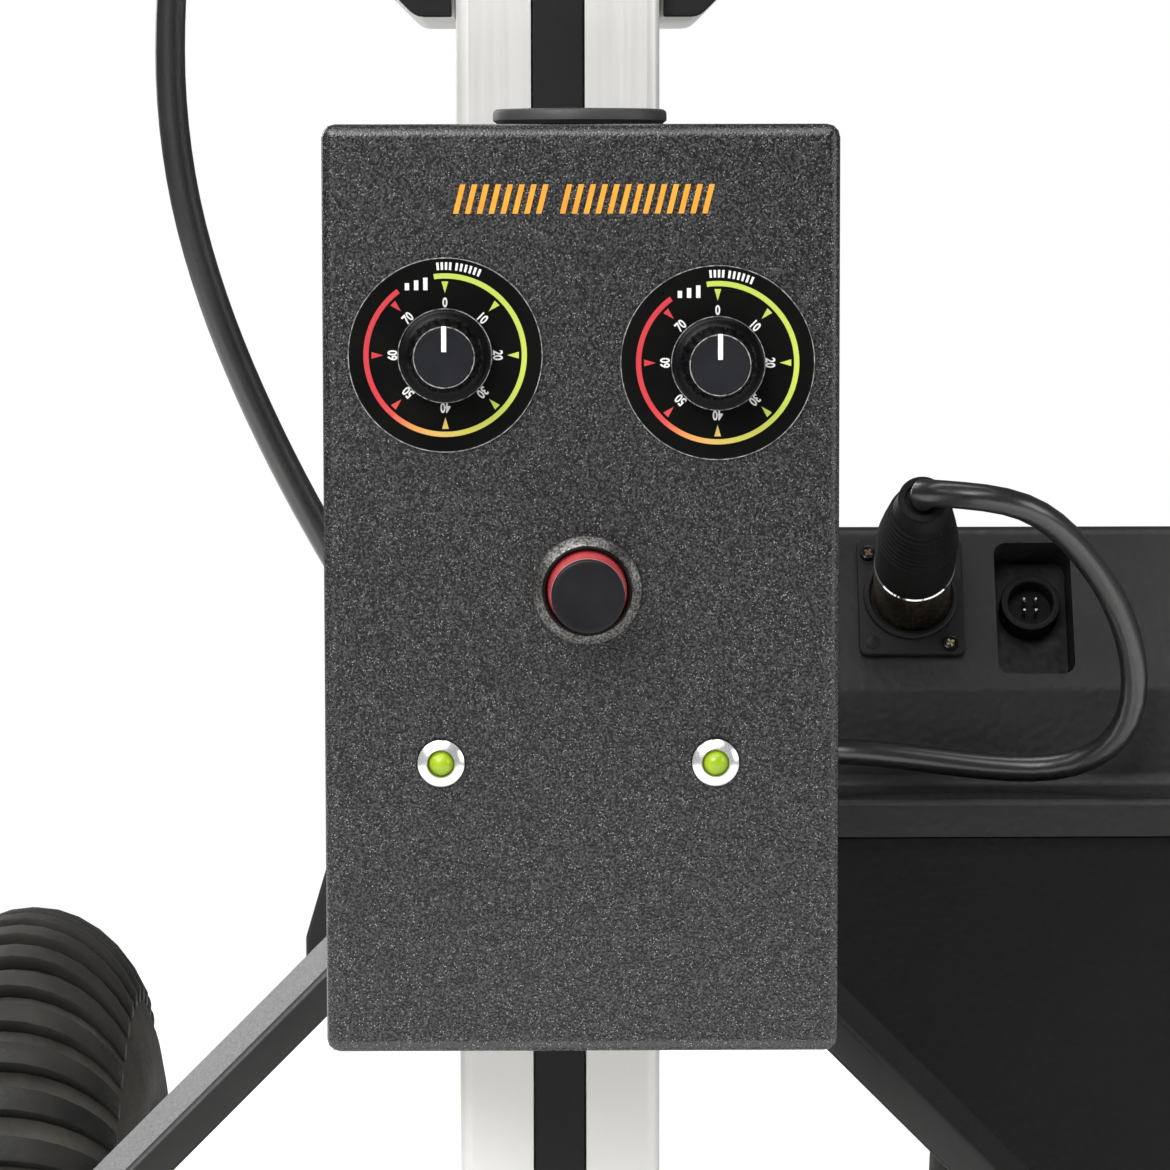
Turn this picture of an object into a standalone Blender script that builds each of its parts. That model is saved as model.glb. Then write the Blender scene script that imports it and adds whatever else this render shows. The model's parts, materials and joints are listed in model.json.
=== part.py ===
# Two-wheel ball launcher on a wheeled stand, with its control box on the post.
# Metres, +Z up. The origin is on the floor, in the middle of the machine.
# +Y is the way the ball flies; the control box faces the operator at -Y.
import math

import bmesh
import bpy
from mathutils import Matrix, Vector

# Clearance between neighbours that touch on the real machine
GAP = 0.0003
RUNNING_GAP = 0.0003

# Post: square slotted profile
POST_SIDE = 0.040
POST_BOTTOM = 0.100
POST_TOP = 0.612
POST_CORNER = 0.0025
SLOT_WIDTH = 0.0106
SLOT_LIP = 0.0045
SLOT_INNER_WIDTH = 0.016
SLOT_DEPTH = 0.010
STRIP_THICKNESS = 0.003
CAP_THICKNESS = 0.004

# Control box
BOX_WIDTH = 0.096
BOX_HEIGHT = 0.1735
BOX_DEPTH = 0.050
BOX_TOP = 0.4838
BOX_OFFSET = 0.004
BOX_STANDOFF = 0.004
BOX_WALL = 0.0025
BOX_FILLET = 0.0025
COVER_THICKNESS = 0.004
COLUMN_SIDE = 0.009
BRACKET_WIDTH = 0.034
BRACKET_HEIGHT = 0.110
TOP_CAP_DIAMETER = 0.033
TOP_CAP_THICKNESS = 0.0031
TOP_CAP_STEM = 0.012

# Front panel layout, from the middle of the panel
DIAL_SPREAD = 0.0252
DIAL_RISE_LEFT = 0.0442
DIAL_RISE_RIGHT = 0.0427
DIAL_DIAMETER = 0.036
DIAL_THICKNESS = 0.0005
BUTTON_SHIFT = 0.0010
BUTTON_RISE = 0.0005
LED_SPREAD = 0.0256
LED_SHIFT = -0.0007
LED_DROP = 0.0318

# Speed knobs
KNOB_SKIRT_DIAMETER = 0.0174
KNOB_SKIRT_HEIGHT = 0.0030
KNOB_FOOT_DIAMETER = 0.0134
KNOB_TOP_DIAMETER = 0.0112
KNOB_HEIGHT = 0.0135
KNOB_LIFT = 0.0006
SHAFT_DIAMETER = 0.006
SHAFT_REACH = 0.0095
BUSH_DIAMETER = 0.0070
BUSH_REACH = 0.0004
CONTROL_DIAMETER = 0.016
CONTROL_LENGTH = 0.009

# Push button
BEZEL_DIAMETER = 0.0205
BEZEL_HEIGHT = 0.0026
BEZEL_OPENING = 0.0166
PLUNGER_DIAMETER = 0.0150
PLUNGER_REACH = 0.0145
BUTTON_CAP_DIAMETER = 0.0134
BUTTON_CAP_THICKNESS = 0.0030
BUTTON_TRAVEL = 0.003
BUTTON_BODY_DIAMETER = 0.0185
BUTTON_BODY_LENGTH = 0.024
BUTTON_WALL = 0.0007

# Indicator lamps
LED_LENS_DIAMETER = 0.0048
LED_LENS_REACH = 0.0026
LED_BEZEL_DIAMETER = 0.0087
LED_BEZEL_HEIGHT = 0.0020
LED_STEM_DIAMETER = 0.0066
LED_STEM_LENGTH = 0.008

# Circuit board
BOARD_WIDTH = 0.066
BOARD_HEIGHT = 0.118
BOARD_THICKNESS = 0.0016
BOARD_BOSS_HEIGHT = 0.005
BOARD_BOSS_DIAMETER = 0.006
BOARD_BOSS_INSET = 0.006
RELAY_SIDE = 0.012

# Screws and bolts
SCREW_DIAMETER = 0.004
SCREW_HEAD_DIAMETER = 0.0075
SCREW_HEAD_HEIGHT = 0.0024
BOLT_DIAMETER = 0.006
BOLT_HEAD_DIAMETER = 0.011
BOLT_HEAD_HEIGHT = 0.0034
HOLE_CLEARANCE = 0.0003

# Cable glands and cables
GLAND_INSET = 0.0115
GLAND_HEIGHT = 0.372
GLAND_THREAD_DIAMETER = 0.012
GLAND_HEX_DIAMETER = 0.016
GLAND_HEX_LENGTH = 0.007
GLAND_DOME_LENGTH = 0.011
GLAND_NUT_LENGTH = 0.004
MOTOR_CABLE_DIAMETER = 0.0062
BATTERY_CABLE_DIAMETER = 0.0065

# Hub plate and legs
HUB_HALF_WIDTH = 0.0527
HUB_TOP_HALF_WIDTH = 0.0443
HUB_BOTTOM = 0.2935
HUB_SHOULDER_RISE = 0.0232
HUB_HEIGHT = 0.0515
HUB_THICKNESS = 0.006
LEG_THICKNESS = 0.0072
LEG_WIDTH = 0.0215
LEG_SPLAY = math.radians(77.0)
LEG_SLOPE = math.radians(43.5)
LEG_PASS_X = 0.0474
LEG_PASS_Y = -0.0100
LEG_PASS_Z = 0.3097
FOOT_HEIGHT = 0.014
FOOT_LENGTH = 0.046
FOOT_WIDTH = 0.034

# Base
BLOCK_HALF_WIDTH = 0.027
BLOCK_BOTTOM = 0.086
BLOCK_TOP = 0.152
BLOCK_BACK = 0.058
TIE_WIDTH = 0.022
TIE_THICKNESS = 0.006
BEAM_SIDE = 0.040
BEAM_WALL = 0.0025
BEAM_OVERHANG = 0.026

# Transport wheels
AXLE_REACH = 0.470
AXLE_DIAMETER = 0.016
WHEEL_SPREAD = 0.1626
TYRE_DIAMETER = 0.250
TYRE_WIDTH = 0.078
TYRE_WIDEST_RADIUS = 0.070
LUG_HEIGHT = 0.005
LUG_START = 1.3
LUG_SEGMENTS = 48
RIM_RADIUS = 0.052
RIM_WIDTH = 0.058
RIM_WALL = 0.003
HUB_TUBE_DIAMETER = 0.038
HUB_TUBE_LENGTH = 0.062
RIM_WEB = 0.003
COLLAR_DIAMETER = 0.028
COLLAR_WIDTH = 0.009

# Battery case and what carries it
ARM_SIDE = 0.030
ARM_WALL = 0.002
ARM_LENGTH = 0.285
FLANGE_HEIGHT = 0.072
FLANGE_WIDTH = 0.037
FLANGE_THICKNESS = 0.005
CASE_FRONT = 0.167
CASE_BACK = 0.332
CASE_LEFT = -0.048
CASE_RIGHT = 0.235
CASE_WALL = 0.003
CASE_SHALLOW_BOTTOM = 0.2655
CASE_DEEPENING = 0.0755
CASE_SLOPE_START = 0.078
CASE_RIM_RISE = 0.051
LID_OVERHANG = 0.004
LID_LEDGE_RISE = 0.0094
LID_LEDGE_DEPTH = 0.024
LID_PANEL_FOOT_RISE = 0.0236
LID_PANEL_FOOT_BACK = 0.004
LID_PANEL_HEIGHT = 0.0435
LID_PANEL_TILT = math.radians(27.0)
LID_TOP_FALL = 0.013
BATTERY_WIDTH = 0.065
BATTERY_LENGTH = 0.151
BATTERY_HEIGHT = 0.096
BATTERY_X = 0.1935

# Connectors on the lid's slanted panel
SOCKET_X = 0.0883
SOCKET_RISE = 0.0238
SOCKET_WIDTH = 0.026
SOCKET_HEIGHT = 0.031
SOCKET_FLANGE = 0.0026
SOCKET_SHELL_DIAMETER = 0.0236
SOCKET_SHELL_DEPTH = 0.020
SOCKET_BORE = 0.0202
SOCKET_SCREW_DIAMETER = 0.0042
SOCKET_SCREW_HEIGHT = 0.0012
PLUG_DIAMETER = 0.0190
PLUG_SEAT_DEPTH = 0.014
PLUG_BARREL_REACH = 0.0238
BOOT_DIAMETER = 0.0196
BOOT_TIP_DIAMETER = 0.0105
BOOT_LENGTH = 0.0396
PLUG_LEAN = math.radians(1.7)
POCKET_X = 0.1191
POCKET_RISE = 0.0215
POCKET_WIDTH = 0.0190
POCKET_HEIGHT = 0.0350
POCKET_CORNER = 0.003
POCKET_DEPTH = 0.014
POCKET_WALL = 0.0025
CHARGE_RISE = 0.0257
CHARGE_RING_DIAMETER = 0.0150
CHARGE_BORE_DIAMETER = 0.0112
CHARGE_REACH = 0.007
CHARGE_PIN_DIAMETER = 0.0014
CHARGE_PIN_CIRCLE = 0.0040
CHARGE_PIN_REACH = 0.0045

# Carriage and tilt pivot
CARRIAGE_HALF_WIDTH = 0.040
CARRIAGE_BOTTOM_HALF_WIDTH = 0.028
CARRIAGE_BOTTOM = 0.5058
CARRIAGE_HEIGHT = 0.0902
CARRIAGE_BACK = -0.012
CARRIAGE_FRONT = 0.049
CARRIAGE_CHAMFER = 0.012
CARRIAGE_COVER = 0.002
PIVOT_Y = 0.035
PIVOT_RISE = 0.0672
PIN_DIAMETER = 0.012
PIN_HEAD_HEIGHT = 0.005
CHEEK_THICKNESS = 0.006
CHEEK_RADIUS = 0.016
CHEEK_TOP_HALF_LENGTH = 0.042
CLAMP_KNOB_DIAMETER = 0.040
CLAMP_KNOB_LENGTH = 0.024

# Launch head
DECK_CLEARANCE = 0.056
DECK_THICKNESS = 0.006
DECK_END_RADIUS = 0.1125
WHEEL_CENTRE_Y = 0.030
LAUNCH_SPREAD = 0.130
LAUNCH_DIAMETER = 0.200
LAUNCH_WIDTH = 0.050
LAUNCH_TYRE_WALL = 0.020
LAUNCH_LIFT = 0.012
LAUNCH_HUB_DIAMETER = 0.044
LAUNCH_WEB = 0.038
MOTOR_DIAMETER = 0.076
MOTOR_LENGTH = 0.100
MOTOR_SHAFT_DIAMETER = 0.012
MOTOR_SHAFT_REACH = 0.058
GUARD_GAP = 0.008
GUARD_WALL = 0.0025
GUARD_HEIGHT = 0.058
GUARD_SWEEP = math.radians(190.0)
TROUGH_RADIUS = 0.0385
TROUGH_WALL = 0.0025
TROUGH_BACK = -0.205
TROUGH_FRONT = -0.020
DECK_GLAND_X = -0.062
DECK_GLAND_Y = 0.016

# Where the post stands, so that the machine's footprint is centred on the origin
POST_Y = -(AXLE_REACH + TYRE_DIAMETER / 2 + TROUGH_BACK) / 2

# Values worked out from those above
HALF_POST = POST_SIDE / 2
BOX_REAR = -(HALF_POST + BOX_STANDOFF)
BOX_FRONT = BOX_REAR - BOX_DEPTH
BOX_MIDDLE = BOX_TOP - BOX_HEIGHT / 2
AXLE_Z = TYRE_DIAMETER / 2
HUB_FRONT = HALF_POST + GAP + HUB_THICKNESS
HUB_SHOULDER = HUB_BOTTOM + HUB_SHOULDER_RISE
HUB_TOP = HUB_BOTTOM + HUB_HEIGHT
CASE_DEEP_BOTTOM = CASE_SHALLOW_BOTTOM - CASE_DEEPENING
CASE_RIM = CASE_SHALLOW_BOTTOM + CASE_RIM_RISE
LID_LEDGE = CASE_RIM + LID_LEDGE_RISE
LID_PANEL_FOOT = LID_LEDGE + LID_PANEL_FOOT_RISE
CARRIAGE_TOP = CARRIAGE_BOTTOM + CARRIAGE_HEIGHT
PIVOT_Z = CARRIAGE_BOTTOM + PIVOT_RISE
DECK_BOTTOM = CARRIAGE_TOP + DECK_CLEARANCE
ARM_TOP = CASE_SHALLOW_BOTTOM - GAP
WHEEL_TOP = DECK_BOTTOM + DECK_THICKNESS + LAUNCH_LIFT + LAUNCH_WIDTH
BALL_HEIGHT = WHEEL_TOP - LAUNCH_WIDTH / 2

# Cable routes, from the post's axis at floor level; each starts at its gland or plug
MOTOR_CABLE_ROUTE = [
    (-0.0345, 0.0185, 0.3755),
    (-0.0385, 0.0265, 0.3825),
    (-0.0437, 0.0300, 0.3905),
    (-0.0492, 0.0308, 0.4000),
    (-0.0559, 0.0308, 0.4123),
    (-0.0643, 0.0308, 0.4301),
    (-0.0717, 0.0308, 0.4490),
    (-0.0773, 0.0308, 0.4690),
    (-0.0796, 0.0308, 0.4857),
    (-0.0803, 0.0306, 0.4977),
    (-0.0797, 0.0300, 0.5120),
    (-0.0782, 0.0285, 0.5300),
    (-0.0752, 0.0262, 0.5520),
    (-0.0708, 0.0232, 0.5760),
    (-0.0662, 0.0195, 0.5980),
]
BATTERY_CABLE_ROUTE = [
    (0.0925, 0.1362, 0.4008),
    (0.0990, 0.1347, 0.4012),
    (0.1060, 0.1355, 0.4002),
    (0.1115, 0.1380, 0.3982),
    (0.1162, 0.1420, 0.3953),
    (0.1245, 0.1500, 0.3870),
    (0.1330, 0.1560, 0.3760),
    (0.1385, 0.1600, 0.3620),
    (0.1400, 0.1635, 0.3490),
    (0.1370, 0.1680, 0.3395),
    (0.1300, 0.1730, 0.3335),
    (0.1197, 0.1765, 0.3310),
    (0.1000, 0.1765, 0.3325),
    (0.0840, 0.1760, 0.3350),
    (0.0690, 0.1740, 0.3365),
    (0.0570, 0.1650, 0.3375),
    (0.0490, 0.1450, 0.3390),
    (0.0445, 0.1200, 0.3425),
    (0.0420, 0.0920, 0.3480),
    (0.0408, 0.0640, 0.3565),
    (0.0405, 0.0400, 0.3650),
    (0.0405, 0.0220, 0.3708),
]

FINISHES = {
    "silver": ((0.72, 0.72, 0.70), 0.34, 1.0),
    "steel": ((0.62, 0.62, 0.62), 0.28, 1.0),
    "chrome": ((0.80, 0.80, 0.80), 0.10, 1.0),
    "brass": ((0.70, 0.52, 0.24), 0.28, 1.0),
    "black_paint": ((0.024, 0.024, 0.025), 0.36, 0.0),
    "black_plastic": ((0.020, 0.020, 0.021), 0.42, 0.0),
    "textured_plastic": ((0.042, 0.042, 0.044), 0.62, 0.0),
    "gloss_black": ((0.010, 0.010, 0.010), 0.12, 0.0),
    "label_black": ((0.006, 0.006, 0.006), 0.38, 0.0),
    "rubber": ((0.026, 0.026, 0.026), 0.75, 0.0),
    "tyre_rubber": ((0.060, 0.058, 0.054), 0.80, 0.0),
    "wheel_rubber": ((0.16, 0.16, 0.16), 0.70, 0.0),
    "cable_black": ((0.020, 0.020, 0.020), 0.45, 0.0),
    "red_plastic": ((0.62, 0.012, 0.020), 0.25, 0.0),
    "green_lens": ((0.42, 0.68, 0.02), 0.20, 0.0),
    "board_green": ((0.02, 0.16, 0.07), 0.45, 0.0),
    "battery_grey": ((0.10, 0.10, 0.11), 0.50, 0.0),
}


def clear_scene():
    for obj in list(bpy.data.objects):
        bpy.data.objects.remove(obj, do_unlink=True)


def material(node, finish):
    colour, roughness, metallic = FINISHES[finish]
    made = bpy.data.materials.new(node)
    made.use_nodes = True
    shader = made.node_tree.nodes["Principled BSDF"]
    shader.inputs["Base Color"].default_value = (*colour, 1.0)
    shader.inputs["Roughness"].default_value = roughness
    shader.inputs["Metallic"].default_value = metallic
    made.diffuse_color = (*colour, 1.0)
    return made


# A named node from a finished mesh; at is its origin, from the post's axis on the floor
def node(name, bm, finish, at=(0.0, 0.0, 0.0)):
    bmesh.ops.remove_doubles(bm, verts=bm.verts, dist=1e-6)
    bmesh.ops.recalc_face_normals(bm, faces=bm.faces)
    mesh = bpy.data.meshes.new(name)
    bm.to_mesh(mesh)
    bm.free()
    mesh.shade_smooth()
    mesh.set_sharp_from_angle(angle=math.radians(32.0))
    obj = bpy.data.objects.new(name, mesh)
    obj.location = (at[0], at[1] + POST_Y, at[2])
    obj.data.materials.append(material(name, finish))
    bpy.context.collection.objects.link(obj)
    return obj


# A cutter or an added shape, hidden, that a Boolean on the target uses
def combine(target, bm, operation="DIFFERENCE"):
    bmesh.ops.remove_doubles(bm, verts=bm.verts, dist=1e-6)
    bmesh.ops.recalc_face_normals(bm, faces=bm.faces)
    mesh = bpy.data.meshes.new(target.name + "_tool")
    bm.to_mesh(mesh)
    bm.free()
    tool = bpy.data.objects.new(target.name + "_tool", mesh)
    tool.location = target.location
    tool.hide_render = True
    tool.display_type = "WIRE"
    bpy.context.collection.objects.link(tool)
    change = target.modifiers.new(operation.title(), "BOOLEAN")
    change.operation = operation
    change.solver = "EXACT"
    change.object = tool


def moved(bm, verts, frame):
    if frame is not None:
        bmesh.ops.transform(bm, matrix=frame, verts=verts)
    return verts


# A frame whose Z runs along direction, from the point at
def frame_at(at, direction):
    turn = Vector((0.0, 0.0, 1.0)).rotation_difference(Vector(direction))
    return Matrix.Translation(at) @ turn.to_matrix().to_4x4()


def block(bm, low, high, frame=None, bevel=0.0, segments=2):
    size = Vector(high) - Vector(low)
    middle = (Vector(high) + Vector(low)) / 2
    place = Matrix.Translation(middle) @ Matrix.Diagonal((*size, 1.0))
    verts = bmesh.ops.create_cube(bm, size=1.0, matrix=place)["verts"]
    if bevel > 0.0:
        edges = list({edge for vert in verts for edge in vert.link_edges})
        made = bmesh.ops.bevel(bm, geom=edges, offset=bevel, segments=segments,
                               profile=0.5, affect="EDGES", clamp_overlap=True)
        verts = list({vert for face in made["faces"] for vert in face.verts})
        verts = connected(verts)
    return moved(bm, verts, frame)


# All the vertices of the islands that the given ones belong to
def connected(verts):
    found = set(verts)
    edge_of = list(verts)
    while edge_of:
        vert = edge_of.pop()
        for edge in vert.link_edges:
            other = edge.other_vert(vert)
            if other not in found:
                found.add(other)
                edge_of.append(other)
    return list(found)


# Corners of an outline rounded by arcs; radii is one radius or one for each corner
def rounded(outline, radii, steps=4):
    count = len(outline)
    if not isinstance(radii, (list, tuple)):
        radii = [radii] * count
    points = []
    for i, radius in enumerate(radii):
        corner = Vector(outline[i])
        before = (Vector(outline[i - 1]) - corner).normalized()
        after = (Vector(outline[(i + 1) % count]) - corner).normalized()
        half = before.angle(after) / 2
        if radius <= 0.0 or half > math.radians(89.0):
            points.append(tuple(corner))
            continue
        centre = corner + (before + after).normalized() * radius / math.sin(half)
        start = corner + before * radius / math.tan(half) - centre
        end = corner + after * radius / math.tan(half) - centre
        sweep = start.angle_signed(end)
        for step in range(steps + 1):
            turn = -sweep * step / steps
            points.append((
                centre.x + start.x * math.cos(turn) - start.y * math.sin(turn),
                centre.y + start.x * math.sin(turn) + start.y * math.cos(turn)))
    return points


# An outline given across one axis, drawn out along it from low to high
def plate(bm, outline, low, high, axis, frame=None):
    spot = {
        "X": lambda u, v, w: (w, u, v),
        "Y": lambda u, v, w: (u, w, v),
        "Z": lambda u, v, w: (u, v, w),
    }[axis]
    verts = [bm.verts.new(spot(u, v, low)) for u, v in outline]
    face = bm.faces.new(verts)
    drawn = bmesh.ops.extrude_face_region(bm, geom=[face], use_keep_orig=True)
    top = [part for part in drawn["geom"] if isinstance(part, bmesh.types.BMVert)]
    shift = Vector(spot(0.0, 0.0, high - low))
    bmesh.ops.translate(bm, vec=shift, verts=top)
    return moved(bm, verts + top, frame)


# A profile of (radius, height) points turned about Z; one that starts on the axis ends on it
def turned(bm, profile, segments=32, frame=None):
    verts = [bm.verts.new((radius, 0.0, height)) for radius, height in profile]
    edges = [bm.edges.new(pair) for pair in zip(verts, verts[1:])]
    if profile[0][0] > 0.0:
        edges.append(bm.edges.new((verts[-1], verts[0])))
    bmesh.ops.spin(bm, geom=verts + edges, cent=(0, 0, 0), axis=(0, 0, 1),
                   angle=math.tau, steps=segments, use_merge=True, use_duplicate=False)
    ring = connected(verts)
    bmesh.ops.remove_doubles(bm, verts=ring, dist=1e-7)
    ring = connected([vert for vert in ring if vert.is_valid])
    return moved(bm, ring, frame)


def rod(bm, radius, start, end, segments=16, chamfer=0.0):
    length = (Vector(end) - Vector(start)).length
    profile = [(0.0, 0.0), (radius, 0.0), (radius, length), (0.0, length)]
    if chamfer > 0.0:
        profile = [(0.0, 0.0), (radius - chamfer, 0.0), (radius, chamfer),
                   (radius, length - chamfer), (radius - chamfer, length), (0.0, length)]
    return turned(bm, profile, segments, frame_at(start, Vector(end) - Vector(start)))


# The part of the mesh on the far side of a plane is cut away and the cut closed
def trim(bm, point, normal):
    geom = bm.verts[:] + bm.edges[:] + bm.faces[:]
    made = bmesh.ops.bisect_plane(bm, geom=geom, plane_co=point, plane_no=normal,
                                  clear_outer=True)
    edges = [part for part in made["geom_cut"] if isinstance(part, bmesh.types.BMEdge)]
    bmesh.ops.edgenet_fill(bm, edges=edges)


# A screw seen from under its head: head on the outside at the point, shank along direction
def screw(bm, head_at, direction, reach, diameter, head_diameter, head_height, segments=10):
    crown = head_height * 0.35
    profile = [(0.0, -head_height), (head_diameter / 2 - crown, -head_height),
               (head_diameter / 2, -head_height + crown), (head_diameter / 2, 0.0),
               (diameter / 2, 0.0), (diameter / 2, reach), (0.0, reach)]
    turned(bm, profile, segments, frame_at(head_at, direction))


def post_outline():
    half, lip = HALF_POST, SLOT_WIDTH / 2
    inner = SLOT_INNER_WIDTH / 2
    side = [(-lip, -half), (-lip, -half + SLOT_LIP), (-inner, -half + SLOT_LIP),
            (-inner, -half + SLOT_DEPTH), (inner, -half + SLOT_DEPTH),
            (inner, -half + SLOT_LIP), (lip, -half + SLOT_LIP), (lip, -half)]
    centre = half - POST_CORNER
    for step in range(4):
        angle = -math.pi / 2 + math.pi / 2 * step / 3
        side.append((centre + POST_CORNER * math.cos(angle),
                     -centre + POST_CORNER * math.sin(angle)))
    outline = []
    for quarter in range(4):
        c, s = round(math.cos(math.pi / 2 * quarter)), round(math.sin(math.pi / 2 * quarter))
        outline += [(x * c - y * s, x * s + y * c) for x, y in side]
    return outline


def make_post():
    bm = bmesh.new()
    plate(bm, post_outline(), POST_BOTTOM, POST_TOP, "Z")
    node("post", bm, "silver")

    bm = bmesh.new()
    wide = SLOT_WIDTH / 2 - GAP
    block(bm, (-wide, -HALF_POST + GAP, BLOCK_TOP + GAP),
          (wide, -HALF_POST + GAP + STRIP_THICKNESS, POST_TOP - GAP))
    node("slot_strip", bm, "black_plastic")

    bm = bmesh.new()
    block(bm, (-HALF_POST, -HALF_POST, POST_TOP + GAP),
          (HALF_POST, HALF_POST, POST_TOP + GAP + CAP_THICKNESS), bevel=POST_CORNER * 0.6)
    node("post_cap", bm, "black_plastic")


def make_box_shell():
    low_x = BOX_OFFSET - BOX_WIDTH / 2
    high_x = BOX_OFFSET + BOX_WIDTH / 2
    bottom = BOX_TOP - BOX_HEIGHT
    rear = BOX_REAR - COVER_THICKNESS - GAP
    bm = bmesh.new()
    block(bm, (low_x, BOX_FRONT, bottom), (high_x, rear + BOX_FILLET * 2, BOX_TOP),
          bevel=BOX_FILLET, segments=3)
    trim(bm, (0.0, rear, 0.0), (0.0, 1.0, 0.0))
    shell = node("box_shell", bm, "textured_plastic")

    inner_low, inner_high = low_x + BOX_WALL, high_x - BOX_WALL
    floor, roof = bottom + BOX_WALL, BOX_TOP - BOX_WALL
    column = COLUMN_SIDE - BOX_WALL
    cavity = [(inner_low + column, floor), (inner_high - column, floor),
              (inner_high - column, floor + column), (inner_high, floor + column),
              (inner_high, roof - column), (inner_high - column, roof - column),
              (inner_high - column, roof), (inner_low + column, roof),
              (inner_low + column, roof - column), (inner_low, roof - column),
              (inner_low, floor + column), (inner_low + column, floor + column)]
    bm = bmesh.new()
    plate(bm, cavity, BOX_FRONT + BOX_WALL, rear + BOX_WALL, "Y")
    combine(shell, bm)

    bm = bmesh.new()
    through = BOX_WALL * 2
    for x, z, diameter in panel_holes():
        radius = diameter / 2 + HOLE_CLEARANCE
        rod(bm, radius, (x, BOX_FRONT - BOX_WALL, z), (x, BOX_FRONT + through, z), 20)
    rod(bm, TOP_CAP_STEM / 2 + HOLE_CLEARANCE, (BOX_OFFSET, box_mid_y(), BOX_TOP - through),
        (BOX_OFFSET, box_mid_y(), BOX_TOP + BOX_WALL), 16)
    for x, z in corner_screws():
        rod(bm, SCREW_DIAMETER / 2 + HOLE_CLEARANCE, (x, rear - screw_depth(), z),
            (x, rear + BOX_WALL, z), 10)
    combine(shell, bm)


def box_mid_y():
    return BOX_FRONT + BOX_DEPTH / 2


def screw_depth():
    return BOX_DEPTH * 0.3


def knob_places():
    return {"left": (BOX_OFFSET - DIAL_SPREAD, BOX_MIDDLE + DIAL_RISE_LEFT),
            "right": (BOX_OFFSET + DIAL_SPREAD, BOX_MIDDLE + DIAL_RISE_RIGHT)}


def button_place():
    return (BOX_OFFSET + BUTTON_SHIFT, BOX_MIDDLE + BUTTON_RISE)


def led_places():
    middle = BOX_OFFSET + LED_SHIFT
    height = BOX_MIDDLE - LED_DROP
    return [(middle - LED_SPREAD, height), (middle + LED_SPREAD, height)]


def panel_holes():
    holes = [(x, z, BUSH_DIAMETER) for x, z in knob_places().values()]
    holes.append((*button_place(), BUTTON_BODY_DIAMETER))
    holes += [(x, z, LED_STEM_DIAMETER) for x, z in led_places()]
    return holes


def corner_screws():
    inset_x = BOX_WIDTH / 2 - COLUMN_SIDE / 2 - BOX_WALL / 4
    inset_z = BOX_HEIGHT / 2 - COLUMN_SIDE / 2 - BOX_WALL / 4
    return [(BOX_OFFSET + side * inset_x, BOX_MIDDLE + rise * inset_z)
            for side in (-1, 1) for rise in (-1, 1)]


def bracket_screws():
    rise = BRACKET_HEIGHT / 2 - SCREW_HEAD_DIAMETER
    return [(0.0, BOX_MIDDLE + rise), (0.0, BOX_MIDDLE - rise)]


def gland_places():
    spread = BOX_WIDTH / 2 - GLAND_INSET
    return [(BOX_OFFSET - spread, GLAND_HEIGHT), (BOX_OFFSET + spread, GLAND_HEIGHT)]


def board_bosses():
    x = BOARD_WIDTH / 2 - BOARD_BOSS_INSET
    z = BOARD_HEIGHT / 2 - BOARD_BOSS_INSET
    return [(BOX_OFFSET + side * x, board_middle() + rise * z)
            for side in (-1, 1) for rise in (-1, 1)]


def board_middle():
    return BOX_TOP - BOX_HEIGHT + BOX_WALL + BOARD_HEIGHT / 2 + BOARD_BOSS_INSET


def make_rear_cover():
    low_x, high_x = BOX_OFFSET - BOX_WIDTH / 2, BOX_OFFSET + BOX_WIDTH / 2
    front = BOX_REAR - COVER_THICKNESS
    outline = rounded([(low_x, BOX_TOP - BOX_HEIGHT), (high_x, BOX_TOP - BOX_HEIGHT),
                       (high_x, BOX_TOP), (low_x, BOX_TOP)], BOX_FILLET)
    bm = bmesh.new()
    plate(bm, outline, front, BOX_REAR, "Y")
    cover = node("box_rear_cover", bm, "textured_plastic")

    bm = bmesh.new()
    for x, z in board_bosses():
        rod(bm, BOARD_BOSS_DIAMETER / 2, (x, front - BOARD_BOSS_HEIGHT, z),
            (x, front + COVER_THICKNESS / 2, z), 8)
    combine(cover, bm, "UNION")

    bm = bmesh.new()
    ends = (front - COVER_THICKNESS, BOX_REAR + COVER_THICKNESS)
    for x, z in bracket_screws():
        radius = SCREW_DIAMETER / 2 + HOLE_CLEARANCE
        rod(bm, radius, (x, ends[0], z), (x, ends[1], z), 10)
    for x, z in gland_places():
        radius = GLAND_THREAD_DIAMETER / 2 + HOLE_CLEARANCE
        rod(bm, radius, (x, ends[0], z), (x, ends[1], z), 16)
    combine(cover, bm)

    bm = bmesh.new()
    for x, z in corner_screws():
        screw(bm, (x, BOX_REAR, z), (0, -1, 0), COVER_THICKNESS + screw_depth() - GAP,
              SCREW_DIAMETER, SCREW_HEAD_DIAMETER, SCREW_HEAD_HEIGHT)
    combine(cover, bm, "UNION")


def make_bracket():
    bm = bmesh.new()
    half = BRACKET_WIDTH / 2
    plate(bm, rounded([(-half, BOX_MIDDLE - BRACKET_HEIGHT / 2),
                       (half, BOX_MIDDLE - BRACKET_HEIGHT / 2),
                       (half, BOX_MIDDLE + BRACKET_HEIGHT / 2),
                       (-half, BOX_MIDDLE + BRACKET_HEIGHT / 2)], 0.004),
          BOX_REAR + GAP, -HALF_POST - GAP, "Y")
    bracket = node("box_bracket", bm, "steel")
    bm = bmesh.new()
    inside = BOX_REAR - COVER_THICKNESS - GAP
    for x, z in bracket_screws():
        screw(bm, (x, inside, z), (0, 1, 0), BOX_REAR - inside + BOX_STANDOFF / 2,
              SCREW_DIAMETER, SCREW_HEAD_DIAMETER, SCREW_HEAD_HEIGHT)
    combine(bracket, bm, "UNION")


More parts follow.
